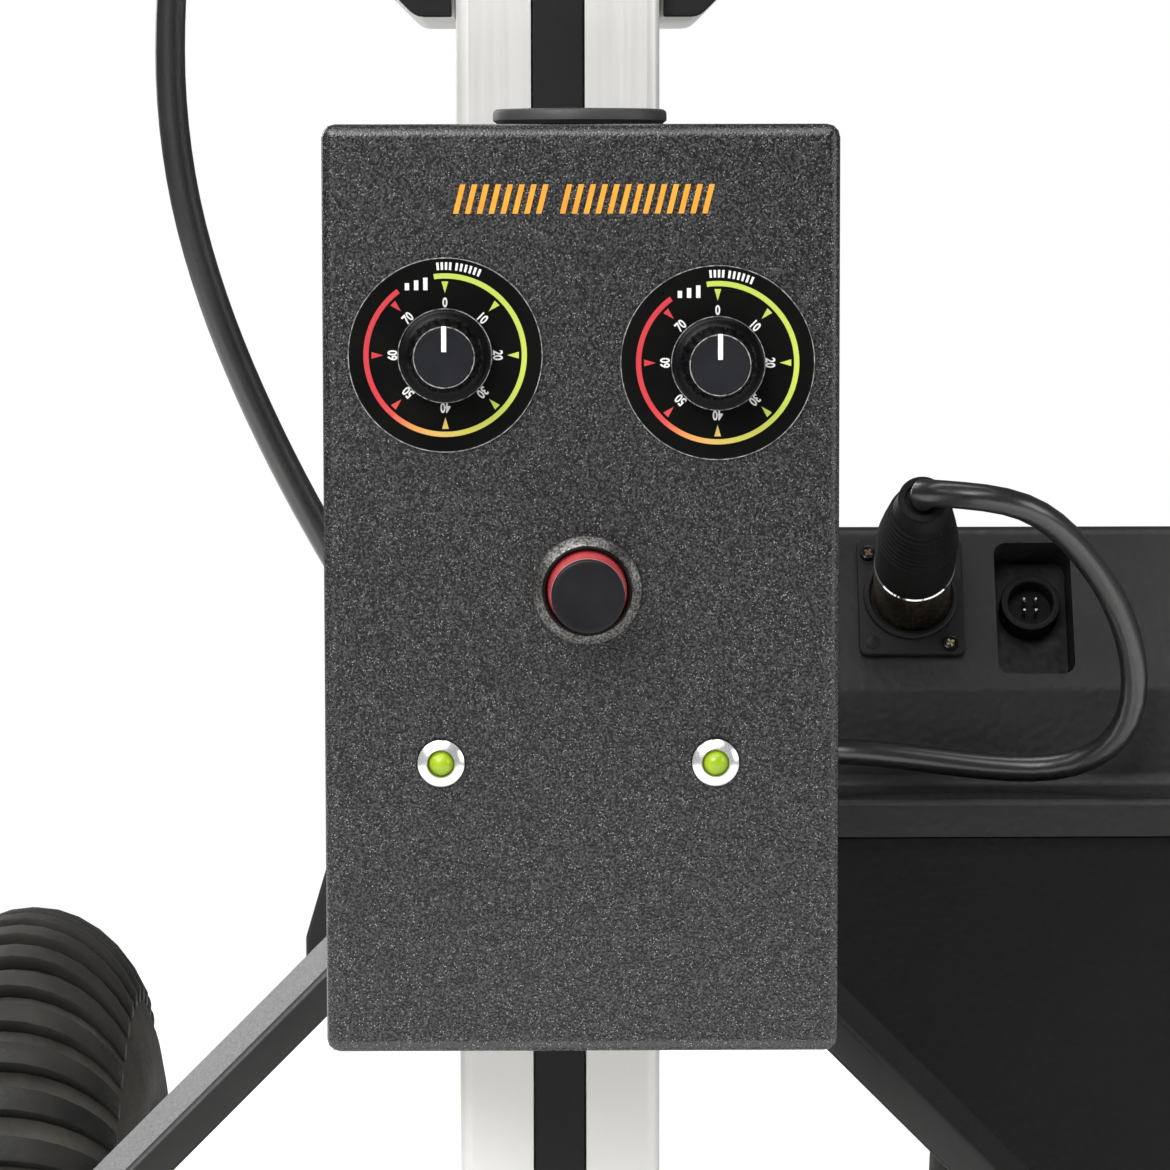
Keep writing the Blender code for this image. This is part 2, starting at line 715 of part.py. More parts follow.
def make_top_cap():
    bm = bmesh.new()
    radius, rim = TOP_CAP_DIAMETER / 2, 0.0008
    profile = [(0.0, -BOX_WALL * 2), (TOP_CAP_STEM / 2, -BOX_WALL * 2), (TOP_CAP_STEM / 2, GAP),
               (radius - rim, GAP), (radius, GAP + rim),
               (radius, TOP_CAP_THICKNESS - rim), (radius - rim, TOP_CAP_THICKNESS),
               (0.0, TOP_CAP_THICKNESS)]
    turned(bm, profile, 28, frame_at((BOX_OFFSET, box_mid_y(), BOX_TOP), (0, 0, 1)))
    node("box_top_cap", bm, "black_plastic")


def make_dials():
    for side, (x, z) in knob_places().items():
        bm = bmesh.new()
        hole = BUSH_DIAMETER / 2 + HOLE_CLEARANCE
        profile = [(hole, GAP), (DIAL_DIAMETER / 2, GAP),
                   (DIAL_DIAMETER / 2, GAP + DIAL_THICKNESS), (hole, GAP + DIAL_THICKNESS)]
        turned(bm, profile, 36, frame_at((x, BOX_FRONT, z), (0, -1, 0)))
        node("dial_plate_" + side, bm, "label_black")

    for side, (x, z) in knob_places().items():
        bm = bmesh.new()
        shaft, bush, body = SHAFT_DIAMETER / 2, BUSH_DIAMETER / 2, CONTROL_DIAMETER / 2
        panel = BOX_WALL + GAP
        profile = [(0.0, -CONTROL_LENGTH), (body, -CONTROL_LENGTH), (body, 0.0), (bush, 0.0),
                   (bush, panel + BUSH_REACH), (shaft, panel + BUSH_REACH),
                   (shaft, panel + SHAFT_REACH), (0.0, panel + SHAFT_REACH)]
        turned(bm, profile, 16, frame_at((x, BOX_FRONT + panel, z), (0, -1, 0)))
        node("speed_control_" + side, bm, "steel")


# Each knob's origin is on its shaft, at the panel
def make_knobs():
    for side, (x, z) in knob_places().items():
        bm = bmesh.new()
        base = GAP + DIAL_THICKNESS + KNOB_LIFT
        skirt, foot, top = KNOB_SKIRT_DIAMETER / 2, KNOB_FOOT_DIAMETER / 2, KNOB_TOP_DIAMETER / 2
        bore = SHAFT_DIAMETER / 2 + RUNNING_GAP
        edge = 0.0006
        depth = SHAFT_REACH + GAP
        profile = [(bore, base), (skirt, base), (skirt, base + KNOB_SKIRT_HEIGHT - edge),
                   (skirt - edge, base + KNOB_SKIRT_HEIGHT), (foot, base + KNOB_SKIRT_HEIGHT),
                   (top, KNOB_HEIGHT - edge), (top - edge, KNOB_HEIGHT), (0.0, KNOB_HEIGHT)]
        profile = [(0.0, depth), (bore, depth)] + profile
        turned(bm, profile, 24, frame_at((0, 0, 0), (0, -1, 0)))
        node("knob_" + side, bm, "black_plastic", (x, BOX_FRONT, z))


def make_button():
    x, z = button_place()
    bezel, opening = BEZEL_DIAMETER / 2, BEZEL_OPENING / 2
    step = 0.0012
    bm = bmesh.new()
    profile = [(opening, GAP), (bezel, GAP), (bezel, GAP + step / 2),
               (opening + step, BEZEL_HEIGHT), (opening, BEZEL_HEIGHT)]
    turned(bm, profile, 28, frame_at((x, BOX_FRONT, z), (0, -1, 0)))
    node("button_bezel", bm, "black_plastic")

    body, inside = BUTTON_BODY_DIAMETER / 2, PLUNGER_DIAMETER / 2 + RUNNING_GAP
    bm = bmesh.new()
    floor = BUTTON_BODY_LENGTH - BUTTON_WALL * 2
    profile = [(0.0, -BUTTON_BODY_LENGTH), (body, -BUTTON_BODY_LENGTH), (body, 0.0),
               (inside, 0.0), (inside, -floor), (0.0, -floor)]
    turned(bm, profile, 20, frame_at((x, BOX_FRONT, z), (0, -1, 0)))
    node("button_body", bm, "black_plastic")

    radius, cap = PLUNGER_DIAMETER / 2, BUTTON_CAP_DIAMETER / 2
    inner_end = -(BUTTON_BODY_LENGTH / 2 - BUTTON_TRAVEL)
    edge = 0.0005
    bm = bmesh.new()
    neck = PLUNGER_REACH - BUTTON_CAP_THICKNESS
    profile = [(0.0, inner_end), (radius, inner_end), (radius, BEZEL_HEIGHT),
               (cap + edge, neck), (cap + edge, neck + edge), (cap, neck + edge),
               (cap, PLUNGER_REACH - edge), (cap - edge, PLUNGER_REACH), (0.0, PLUNGER_REACH)]
    turned(bm, profile, 24, frame_at((0, 0, 0), (0, -1, 0)))
    node("button_plunger", bm, "red_plastic", (x, BOX_FRONT, z))


def make_lamps():
    lens, stem = LED_LENS_DIAMETER / 2, LED_STEM_DIAMETER / 2
    rim = LED_BEZEL_DIAMETER / 2
    for side, (x, z) in zip(("left", "right"), led_places()):
        frame = frame_at((x, BOX_FRONT, z), (0, -1, 0))
        bore = lens + GAP
        profile = [(bore, -LED_STEM_LENGTH), (stem, -LED_STEM_LENGTH), (stem, GAP), (rim, GAP),
                   (rim, GAP * 2), (bore + 0.0006, LED_BEZEL_HEIGHT), (bore, LED_BEZEL_HEIGHT)]
        bm = bmesh.new()
        turned(bm, profile, 16, frame)
        node("led_bezel_" + side, bm, "chrome")
        dome = [(0.0, -LED_STEM_LENGTH - lens), (lens, -LED_STEM_LENGTH - lens)]
        for step in range(4):
            angle = math.pi / 2 * step / 3
            dome.append((lens * math.cos(angle), LED_LENS_REACH - lens + lens * math.sin(angle)))
        dome[-1] = (0.0, LED_LENS_REACH)
        bm = bmesh.new()
        turned(bm, dome, 12, frame)
        node("led_lens_" + side, bm, "green_lens")


def make_board():
    bm = bmesh.new()
    front = BOX_REAR - COVER_THICKNESS - BOARD_BOSS_HEIGHT - GAP
    middle = board_middle()
    low, high = BOX_OFFSET - BOARD_WIDTH / 2, BOX_OFFSET + BOARD_WIDTH / 2
    plate(bm, [(low, middle - BOARD_HEIGHT / 2), (high, middle - BOARD_HEIGHT / 2),
               (high, middle + BOARD_HEIGHT / 2), (low, middle + BOARD_HEIGHT / 2)],
          front - BOARD_THICKNESS, front, "Y")
    board = node("circuit_board", bm, "board_green")
    bm = bmesh.new()
    for side in (-1, 1):
        x = BOX_OFFSET + side * BOARD_WIDTH / 4
        foot = middle - BOARD_HEIGHT / 2 + RELAY_SIDE / 2
        block(bm, (x - RELAY_SIDE / 2, front - BOARD_THICKNESS - RELAY_SIDE / 2, foot),
              (x + RELAY_SIDE / 2, front - BOARD_THICKNESS / 2, foot + RELAY_SIDE * 1.5))
    combine(board, bm, "UNION")


# One cable gland: thread through the wall, hex and dome outside, nut inside
def gland(bm, frame, wall):
    thread, hex_radius = GLAND_THREAD_DIAMETER / 2, GLAND_HEX_DIAMETER / 2
    tip = GLAND_HEX_LENGTH + GLAND_DOME_LENGTH
    nut = -(wall + GAP * 2 + GLAND_NUT_LENGTH)
    profile = [(0.0, nut), (hex_radius, nut), (hex_radius, nut + GLAND_NUT_LENGTH),
               (thread, nut + GLAND_NUT_LENGTH), (thread, 0.0), (hex_radius, 0.0),
               (hex_radius, GLAND_HEX_LENGTH), (thread, GLAND_HEX_LENGTH + GAP * 2),
               (thread * 0.9, tip - thread * 0.4), (thread * 0.72, tip), (0.0, tip)]
    turned(bm, profile, 12, frame)


def gland_tip():
    return BOX_REAR + GAP + GLAND_HEX_LENGTH + GLAND_DOME_LENGTH


def make_glands():
    for side, (x, z) in zip(("left", "right"), gland_places()):
        bm = bmesh.new()
        gland(bm, frame_at((x, BOX_REAR + GAP, z), (0, 1, 0)), COVER_THICKNESS)
        node("box_gland_" + side, bm, "black_plastic")

    bm = bmesh.new()
    at = (DECK_GLAND_X, DECK_GLAND_Y, DECK_BOTTOM - GAP)
    gland(bm, frame_at(at, (0, 0, -1)), DECK_THICKNESS)
    node("deck_gland", bm, "black_plastic")


# A smooth curve through the points at an even spacing, straight in its first and last leg
def smooth_route(points, spacing):
    points = [Vector(point) for point in points]
    fine = []
    for a, b, c, d in zip(points, points[1:], points[2:], points[3:]):
        for step in range(24):
            t = step / 24
            fine.append(0.5 * (2 * b + (c - a) * t + (2 * a - 5 * b + 4 * c - d) * t * t
                               + (3 * b - a - 3 * c + d) * t ** 3))
    fine.append(points[-2])
    runs = [0.0]
    for a, b in zip(fine, fine[1:]):
        runs.append(runs[-1] + (b - a).length)
    count = max(2, round(runs[-1] / spacing))
    even, place = [points[0]], 0
    for k in range(count + 1):
        want = runs[-1] * k / count
        while place < len(runs) - 2 and runs[place + 1] < want:
            place += 1
        share = (want - runs[place]) / (runs[place + 1] - runs[place])
        even.append(fine[place].lerp(fine[place + 1], share))
    even.append(points[-1])
    ends = (points[1] - points[0]).length + (points[-1] - points[-2]).length
    return even, runs[-1] + ends


def cable(name, route, diameter):
    points, length = smooth_route(route, diameter * 2.2)
    curve = bpy.data.curves.new(name, "CURVE")
    curve.dimensions = "3D"
    curve.bevel_depth = diameter / 2
    curve.bevel_resolution = 2
    curve.use_fill_caps = True
    spline = curve.splines.new("POLY")
    spline.points.add(len(points) - 1)
    for spot, point in zip(spline.points, points):
        spot.co = (*point, 1.0)
    obj = bpy.data.objects.new(name, curve)
    obj.location = (0.0, POST_Y, 0.0)
    curve.materials.append(material(name, "cable_black"))
    bpy.context.collection.objects.link(obj)
    print(name, "length", round(length, 4), "points", len(points))


# Each end leaves its gland or plug square to it
def make_cables():
    left, right = gland_places()
    reach = gland_tip() + GAP
    lead = MOTOR_CABLE_DIAMETER * 2
    deck = DECK_BOTTOM - GAP * 2 - GLAND_HEX_LENGTH - GLAND_DOME_LENGTH
    route = [(left[0], reach, left[1]), (left[0], reach + lead, left[1])] + MOTOR_CABLE_ROUTE
    route += [(DECK_GLAND_X, DECK_GLAND_Y, deck - lead), (DECK_GLAND_X, DECK_GLAND_Y, deck)]
    cable("motor_cable", route, MOTOR_CABLE_DIAMETER)
    tip = PLUG_BARREL_REACH + GAP + BOOT_LENGTH
    start = plug_frame() @ Vector((0.0, 0.0, tip + GAP))
    turn = plug_frame() @ Vector((0.0, 0.0, tip + BATTERY_CABLE_DIAMETER * 0.6))
    route = [start, turn] + BATTERY_CABLE_ROUTE
    lead = BATTERY_CABLE_DIAMETER * 1.5
    route += [(right[0], reach + lead, right[1]), (right[0], reach, right[1])]
    cable("battery_cable", route, BATTERY_CABLE_DIAMETER)


# The plug sits in the socket with a slight lean, within its clearance
def plug_frame():
    return panel_frame(SOCKET_X, SOCKET_RISE) @ Matrix.Rotation(-PLUG_LEAN, 4, "Y")


def make_hub():
    bm = bmesh.new()
    outline = [(-HUB_HALF_WIDTH, HUB_BOTTOM), (HUB_HALF_WIDTH, HUB_BOTTOM),
               (HUB_HALF_WIDTH, HUB_SHOULDER), (HUB_TOP_HALF_WIDTH, HUB_TOP),
               (-HUB_TOP_HALF_WIDTH, HUB_TOP), (-HUB_HALF_WIDTH, HUB_SHOULDER)]
    plate(bm, rounded(outline, 0.004, 3), HALF_POST + GAP, HUB_FRONT, "Y")
    hub = node("hub_plate", bm, "black_paint")
    bm = bmesh.new()
    for z in (HUB_BOTTOM + BOLT_HEAD_DIAMETER, HUB_TOP - BOLT_HEAD_DIAMETER):
        bolt(bm, (0.0, HUB_FRONT, z), (0, -1, 0), HUB_FRONT - HALF_POST + SLOT_LIP)
    combine(hub, bm, "UNION")


# The flat bar of one leg, from the post's side down and out to its foot
def leg_axes(side):
    run = Vector((side * math.sin(LEG_SPLAY), -math.cos(LEG_SPLAY), 0.0))
    down = Vector((run.x * math.cos(LEG_SLOPE), run.y * math.cos(LEG_SLOPE),
                   -math.sin(LEG_SLOPE)))
    top = Vector((run.x * math.sin(LEG_SLOPE), run.y * math.sin(LEG_SLOPE),
                  math.cos(LEG_SLOPE)))
    away = Vector((side * math.cos(LEG_SPLAY), math.sin(LEG_SPLAY), 0.0))
    return down, top, away


def leg_pass(side):
    return Vector((side * LEG_PASS_X, LEG_PASS_Y, LEG_PASS_Z))


# A point on the leg's middle line at a height
def leg_point(side, height):
    down, top, away = leg_axes(side)
    middle = leg_pass(side) + away * LEG_WIDTH / 2
    return middle + down * (height - middle.z) / down.z


def make_legs():
    for side, word in ((-1, "left"), (1, "right")):
        down, top, away = leg_axes(side)
        frame = Matrix((down, away, top)).transposed().to_4x4()
        frame.translation = leg_pass(side)
        bm = bmesh.new()
        long = LEG_PASS_Z * 3
        block(bm, (-long, 0.0, -LEG_THICKNESS / 2), (long, LEG_WIDTH, LEG_THICKNESS / 2),
              frame, bevel=0.0012, segments=2)
        trim(bm, (side * (HALF_POST + GAP), 0.0, 0.0), (-side, 0.0, 0.0))
        trim(bm, (0.0, 0.0, FOOT_HEIGHT + GAP), (0.0, 0.0, -1.0))
        node("leg_" + word, bm, "black_paint")
        foot = leg_point(side, FOOT_HEIGHT)
        bm = bmesh.new()
        block(bm, (foot.x - FOOT_LENGTH / 2, foot.y - FOOT_WIDTH / 2, 0.0),
              (foot.x + FOOT_LENGTH / 2, foot.y + FOOT_WIDTH / 2, FOOT_HEIGHT), bevel=0.003)
        node("foot_" + word, bm, "rubber")


def make_base():
    inside = HALF_POST + GAP
    bm = bmesh.new()
    outline = rounded([(-BLOCK_HALF_WIDTH, -BLOCK_BACK), (BLOCK_HALF_WIDTH, -BLOCK_BACK),
                       (BLOCK_HALF_WIDTH, BLOCK_HALF_WIDTH),
                       (-BLOCK_HALF_WIDTH, BLOCK_HALF_WIDTH)], 0.004, 3)
    plate(bm, outline, BLOCK_BOTTOM, BLOCK_TOP, "Z")
    base = node("base_block", bm, "black_paint")
    bm = bmesh.new()
    block(bm, (-inside, -inside, POST_BOTTOM - GAP), (inside, inside, BLOCK_TOP * 1.2))
    combine(base, bm)
    bm = bmesh.new()
    for side in (-1, 1):
        bolt(bm, (side * BLOCK_HALF_WIDTH, 0.0, block_bolt()), (-side, 0, 0),
             (BLOCK_HALF_WIDTH - HALF_POST) / 2)
    combine(base, bm, "UNION")

    bm = bmesh.new()
    rear = -BLOCK_BACK
    top = BLOCK_BOTTOM - GAP
    long = HUB_HALF_WIDTH * 8
    block(bm, (-long, rear, top - TIE_THICKNESS), (long, rear + TIE_WIDTH, top))
    for side in (-1, 1):
        down, up, away = leg_axes(side)
        under = leg_pass(side) - up * (LEG_THICKNESS / 2 + GAP)
        trim(bm, under, up)
    node("tie_bar", bm, "black_paint")

    bm = bmesh.new()
    outer, inner = BEAM_SIDE / 2, BEAM_SIDE / 2 - BEAM_WALL
    start, end = BLOCK_HALF_WIDTH + GAP, AXLE_REACH + BEAM_OVERHANG
    block(bm, (-outer, start, AXLE_Z - outer), (outer, end, AXLE_Z + outer))
    beam = node("front_beam", bm, "black_paint")
    bm = bmesh.new()
    block(bm, (-inner, start - BEAM_WALL, AXLE_Z - inner), (inner, end + BEAM_WALL, AXLE_Z + inner))
    combine(beam, bm)
    bm = bmesh.new()
    rod(bm, AXLE_DIAMETER / 2 + HOLE_CLEARANCE, (-BEAM_SIDE, AXLE_REACH, AXLE_Z),
        (BEAM_SIDE, AXLE_REACH, AXLE_Z))
    combine(beam, bm)


def block_bolt():
    return (BLOCK_TOP + POST_BOTTOM) / 2


def bolt(bm, head_at, direction, reach):
    screw(bm, head_at, direction, reach, BOLT_DIAMETER, BOLT_HEAD_DIAMETER, BOLT_HEAD_HEIGHT)


# The axle with its four collars, two on each side of a wheel
def make_axle():
    shaft, collar = AXLE_DIAMETER / 2, COLLAR_DIAMETER / 2
    half = []
    for end in (-1, 1):
        face = WHEEL_SPREAD + end * (HUB_TUBE_LENGTH / 2 + GAP)
        low, high = sorted((face, face + end * COLLAR_WIDTH))
        half += [(shaft, low), (collar, low), (collar, high), (shaft, high)]
    outer = half[-1][1] + COLLAR_WIDTH / 2
    half += [(shaft, outer), (0.0, outer)]
    mirrored = [(radius, -along) for radius, along in reversed(half)]
    bm = bmesh.new()
    turned(bm, mirrored + half, 16, frame_at((0.0, AXLE_REACH, AXLE_Z), (1, 0, 0)))
    node("axle", bm, "steel")


# Half of a tyre's section, from the bead at the rim round to the middle of the tread
def tyre_section():
    outer, widest = TYRE_DIAMETER / 2 - LUG_HEIGHT, TYRE_WIDEST_RADIUS
    half = TYRE_WIDTH / 2
    bead = RIM_WIDTH / 2 - RIM_WALL
    side = [(RIM_RADIUS + GAP, bead), (RIM_RADIUS + 0.008, bead + 0.004), (widest, half)]
    for step in range(1, 4):
        angle = math.pi / 2 * step / 4
        side.append((widest + (outer - widest) * math.sin(angle), half * math.cos(angle)))
    side.append((outer, 0.0))
    return side


# The tread's lugs are bars across the crown, on every second face
def make_tyre(name, at):
    side = tyre_section()
    profile = side + [(radius, -width) for radius, width in reversed(side[:-1])]
    bm = bmesh.new()
    turned(bm, profile, LUG_SEGMENTS)
    lugs = []
    for face in bm.faces:
        middle = face.calc_center_median()
        turn = round(math.atan2(middle.y, middle.x) / (math.tau / LUG_SEGMENTS) - 0.5)
        if math.hypot(middle.x, middle.y) > TYRE_WIDEST_RADIUS * LUG_START and turn % 2 == 0:
            lugs.append(face)
    raised = bmesh.ops.extrude_face_region(bm, geom=lugs)["geom"]
    for vert in raised:
        if isinstance(vert, bmesh.types.BMVert):
            reach = math.hypot(vert.co.x, vert.co.y)
            vert.co.x *= (reach + LUG_HEIGHT) / reach
            vert.co.y *= (reach + LUG_HEIGHT) / reach
    bmesh.ops.delete(bm, geom=lugs, context="FACES_ONLY")
    bmesh.ops.rotate(bm, verts=bm.verts, matrix=Matrix.Rotation(math.pi / 2, 3, "Y"))
    node(name, bm, "tyre_rubber", at)


def make_rim(name, at):
    tube, bore = HUB_TUBE_DIAMETER / 2, AXLE_DIAMETER / 2 + RUNNING_GAP
    half, hub_half = RIM_WIDTH / 2, HUB_TUBE_LENGTH / 2
    inner = RIM_RADIUS - RIM_WALL
    bm = bmesh.new()
    profile = [(bore, hub_half), (tube, hub_half), (tube, RIM_WEB), (inner, RIM_WEB),
               (inner, half), (RIM_RADIUS, half), (RIM_RADIUS, -half), (inner, -half),
               (inner, -RIM_WEB), (tube, -RIM_WEB), (tube, -hub_half), (bore, -hub_half)]
    turned(bm, profile, 20, frame_at((0, 0, 0), (1, 0, 0)))
    node(name, bm, "black_paint", at)


def make_wheels():
    for side, word in ((-1, "left"), (1, "right")):
        at = (side * WHEEL_SPREAD, AXLE_REACH, AXLE_Z)
        make_tyre("tyre_" + word, at)
        make_rim("rim_" + word, at)


# The square tube that carries the battery case, with its flange on the post and its strut
def make_arm():
    half = ARM_SIDE / 2
    middle = ARM_TOP - half
    start = HALF_POST + GAP
    end = start + FLANGE_THICKNESS + ARM_LENGTH
    foot = AXLE_Z + BEAM_SIDE / 2 + GAP
    wide = FLANGE_WIDTH / 2
    low, high = middle - FLANGE_HEIGHT / 2, middle + FLANGE_HEIGHT / 2
    bm = bmesh.new()
    block(bm, (-half, start, middle - half), (half, end, middle + half))
    arm = node("case_arm", bm, "black_paint")
    bm = bmesh.new()
    block(bm, (-wide, start, low), (wide, start + FLANGE_THICKNESS, high))
    combine(arm, bm, "UNION")
    bm = bmesh.new()
    back = end - ARM_SIDE * 2
    block(bm, (-half * 0.9, back - ARM_SIDE, foot), (half * 0.9, back, middle - half * 0.9))
    combine(arm, bm, "UNION")
    bm = bmesh.new()
    inner = half - ARM_WALL
    block(bm, (-inner, start + FLANGE_THICKNESS, middle - inner), (inner, end * 1.1, middle + inner))
    combine(arm, bm)
    bm = bmesh.new()
    for z in (low + BOLT_HEAD_DIAMETER * 0.8, high - BOLT_HEAD_DIAMETER * 0.8):
        bolt(bm, (0.0, start + FLANGE_THICKNESS, z), (0, -1, 0), FLANGE_THICKNESS + SLOT_LIP)
    combine(arm, bm, "UNION")


def make_case():
    def outline(inset):
        slope = inset * math.tan(math.radians(22.5))
        return [(CASE_LEFT + inset, CASE_RIM), (CASE_LEFT + inset, CASE_SHALLOW_BOTTOM + inset),
                (CASE_SLOPE_START + slope, CASE_SHALLOW_BOTTOM + inset),
                (case_slope_end() + slope, CASE_DEEP_BOTTOM + inset),
                (CASE_RIGHT - inset, CASE_DEEP_BOTTOM + inset), (CASE_RIGHT - inset, CASE_RIM)]

    bm = bmesh.new()
    plate(bm, rounded(outline(0.0), [0, 0.006, 0.006, 0.006, 0.006, 0], 3),
          CASE_FRONT, CASE_BACK, "Y")
    case = node("case_body", bm, "textured_plastic")
    bm = bmesh.new()
    raised = [(x, z if z < CASE_RIM else CASE_RIM * 1.05) for x, z in outline(CASE_WALL)]
    plate(bm, raised, CASE_FRONT + CASE_WALL, CASE_BACK - CASE_WALL, "Y")
    combine(case, bm)

    bm = bmesh.new()
    floor = CASE_DEEP_BOTTOM + CASE_WALL + GAP
    middle = (CASE_FRONT + CASE_BACK) / 2
    block(bm, (BATTERY_X - BATTERY_WIDTH / 2, middle - BATTERY_LENGTH / 2, floor),
          (BATTERY_X + BATTERY_WIDTH / 2, middle + BATTERY_LENGTH / 2, floor + BATTERY_HEIGHT),
          bevel=0.0015, segments=1)
    node("battery", bm, "battery_grey")


def case_slope_end():
    return CASE_SLOPE_START + CASE_SHALLOW_BOTTOM - CASE_DEEP_BOTTOM


# The lid's section seen from its end, as (depth, height) points
def lid_outline(inset):
    front = CASE_FRONT - LID_OVERHANG
    foot = front + LID_LEDGE_DEPTH
    ridge = foot + LID_PANEL_FOOT_BACK + LID_PANEL_HEIGHT * math.sin(LID_PANEL_TILT)
    peak = LID_PANEL_FOOT + LID_PANEL_HEIGHT * math.cos(LID_PANEL_TILT)
    back = CASE_BACK + LID_OVERHANG
    bottom = CASE_RIM + GAP
    return [(front + inset, bottom if inset == 0.0 else bottom - inset),
            (front + inset, LID_LEDGE - inset), (foot + inset, LID_LEDGE - inset),
            (foot + LID_PANEL_FOOT_BACK + inset, LID_PANEL_FOOT - inset * 0.5),
            (ridge + inset * 0.6, peak - inset),
            (back - inset - 0.004, peak - LID_TOP_FALL - inset),
            (back - inset, peak - LID_TOP_FALL - 0.004 - inset),
            (back - inset, bottom if inset == 0.0 else bottom - inset)]


# A frame on the slanted panel: X right, Y up along the panel, Z out of it
def panel_frame(x, rise):
    foot = CASE_FRONT - LID_OVERHANG + LID_LEDGE_DEPTH + LID_PANEL_FOOT_BACK
    at = (x, foot + rise * math.sin(LID_PANEL_TILT), LID_PANEL_FOOT + rise * math.cos(LID_PANEL_TILT))
    return frame_at(at, (0.0, -math.cos(LID_PANEL_TILT), math.sin(LID_PANEL_TILT)))


# The pocket's mouth, or its outer wall where it is grown by the wall's thickness
def pocket_outline(grown):
    wide, tall = POCKET_WIDTH / 2 + grown, POCKET_HEIGHT / 2 + grown
    return rounded([(-wide, -tall), (wide, -tall), (wide, tall), (-wide, tall)],
                   POCKET_CORNER + grown)


def make_lid():
    low, high = CASE_LEFT - LID_OVERHANG, CASE_RIGHT + LID_OVERHANG
    radii = [0.0, 0.002, 0.004, 0.006, 0.004, 0.002, 0.002, 0.0]
    bm = bmesh.new()
    plate(bm, rounded(lid_outline(0.0), radii, 3), low, high, "X")
    lid = node("case_lid", bm, "textured_plastic")
    bm = bmesh.new()
    plate(bm, lid_outline(CASE_WALL), low + CASE_WALL, high - CASE_WALL, "X")
    combine(lid, bm)

    pocket = panel_frame(POCKET_X, POCKET_RISE)
    bm = bmesh.new()
    plate(bm, pocket_outline(POCKET_WALL), -POCKET_DEPTH - POCKET_WALL, -CASE_WALL / 2, "Z", pocket)
    combine(lid, bm, "UNION")
    bm = bmesh.new()
    plate(bm, pocket_outline(0.0), -POCKET_DEPTH, CASE_WALL * 2, "Z", pocket)
    rod_frame = panel_frame(SOCKET_X, SOCKET_RISE)
    radius = SOCKET_SHELL_DIAMETER / 2 + HOLE_CLEARANCE
    rod(bm, radius, rod_frame @ Vector((0, 0, -CASE_WALL * 3)), rod_frame @ Vector((0, 0, CASE_WALL)), 20)
    combine(lid, bm)


def make_sockets():
    frame = panel_frame(SOCKET_X, SOCKET_RISE)
    half_x, half_y = SOCKET_WIDTH / 2, SOCKET_HEIGHT / 2
    bm = bmesh.new()
    outline = rounded([(-half_x, -half_y), (half_x, -half_y), (half_x, half_y), (-half_x, half_y)],
                      0.002, 3)
    plate(bm, outline, GAP, SOCKET_FLANGE, "Z", frame)
    socket = node("power_socket", bm, "black_plastic")
    bm = bmesh.new()
    shell = [(0.0, -SOCKET_SHELL_DEPTH), (SOCKET_SHELL_DIAMETER / 2, -SOCKET_SHELL_DEPTH),
             (SOCKET_SHELL_DIAMETER / 2, SOCKET_FLANGE + 0.0012),
             (0.0, SOCKET_FLANGE + 0.0012)]
    turned(bm, shell, 20, frame)
    combine(socket, bm, "UNION")
    bm = bmesh.new()
    rod(bm, SOCKET_BORE / 2, frame @ Vector((0, 0, -PLUG_SEAT_DEPTH - GAP)),
        frame @ Vector((0, 0, SOCKET_FLANGE * 3)), 20)
    combine(socket, bm)

    bm = bmesh.new()
    inset = SOCKET_SCREW_DIAMETER / 2 + 0.0006
    for side, rise in ((-1, 1), (1, -1)):
        at = frame @ Vector((side * (half_x - inset), rise * (half_y - inset), SOCKET_FLANGE / 2))
        turn = frame.to_3x3() @ Vector((0, 0, 1))
        top = SOCKET_FLANGE / 2 + SOCKET_SCREW_HEIGHT
        rod(bm, SOCKET_SCREW_DIAMETER / 2, at, at + turn * top, 10)
    combine(socket, bm, "UNION")

    bm = bmesh.new()
    barrel = PLUG_DIAMETER / 2
    edge = 0.0008
    profile = [(0.0, -PLUG_SEAT_DEPTH), (barrel, -PLUG_SEAT_DEPTH), (barrel, PLUG_BARREL_REACH - edge),
               (barrel - edge, PLUG_BARREL_REACH), (0.0, PLUG_BARREL_REACH)]
    turned(bm, profile, 20, plug_frame())
    node("power_plug", bm, "steel")

    bm = bmesh.new()
    foot, tip = BOOT_DIAMETER / 2, BOOT_TIP_DIAMETER / 2
    start = PLUG_BARREL_REACH + GAP
    profile = [(0.0, start), (foot - edge, start), (foot, start + edge),
               (foot, start + BOOT_LENGTH * 0.40), (foot * 0.93, start + BOOT_LENGTH * 0.53),
               (foot * 0.80, start + BOOT_LENGTH * 0.73), (tip * 1.20, start + BOOT_LENGTH * 0.88),
               (tip, start + BOOT_LENGTH * 0.97), (tip * 0.93, start + BOOT_LENGTH),
               (0.0, start + BOOT_LENGTH)]
    turned(bm, profile, 20, plug_frame())
    node("plug_boot", bm, "rubber")

    frame = panel_frame(POCKET_X, CHARGE_RISE)
    base = -POCKET_DEPTH + GAP
    bm = bmesh.new()
    ring, bore = CHARGE_RING_DIAMETER / 2, CHARGE_BORE_DIAMETER / 2
    floor = base + 0.0012
    profile = [(0.0, base), (ring, base), (ring, base + CHARGE_REACH),
               (bore, base + CHARGE_REACH), (bore, floor), (0.0, floor)]
    turned(bm, profile, 20, frame)
    charge = node("charge_socket", bm, "black_plastic")
    bm = bmesh.new()
    circle = CHARGE_PIN_CIRCLE / 2 / math.sqrt(2)
    for x in (-circle, circle):
        for y in (-circle, circle):
            rod(bm, CHARGE_PIN_DIAMETER / 2, frame @ Vector((x, y, base + 0.0006)),
                frame @ Vector((x, y, floor + CHARGE_PIN_REACH)), 8)
    combine(charge, bm, "UNION")


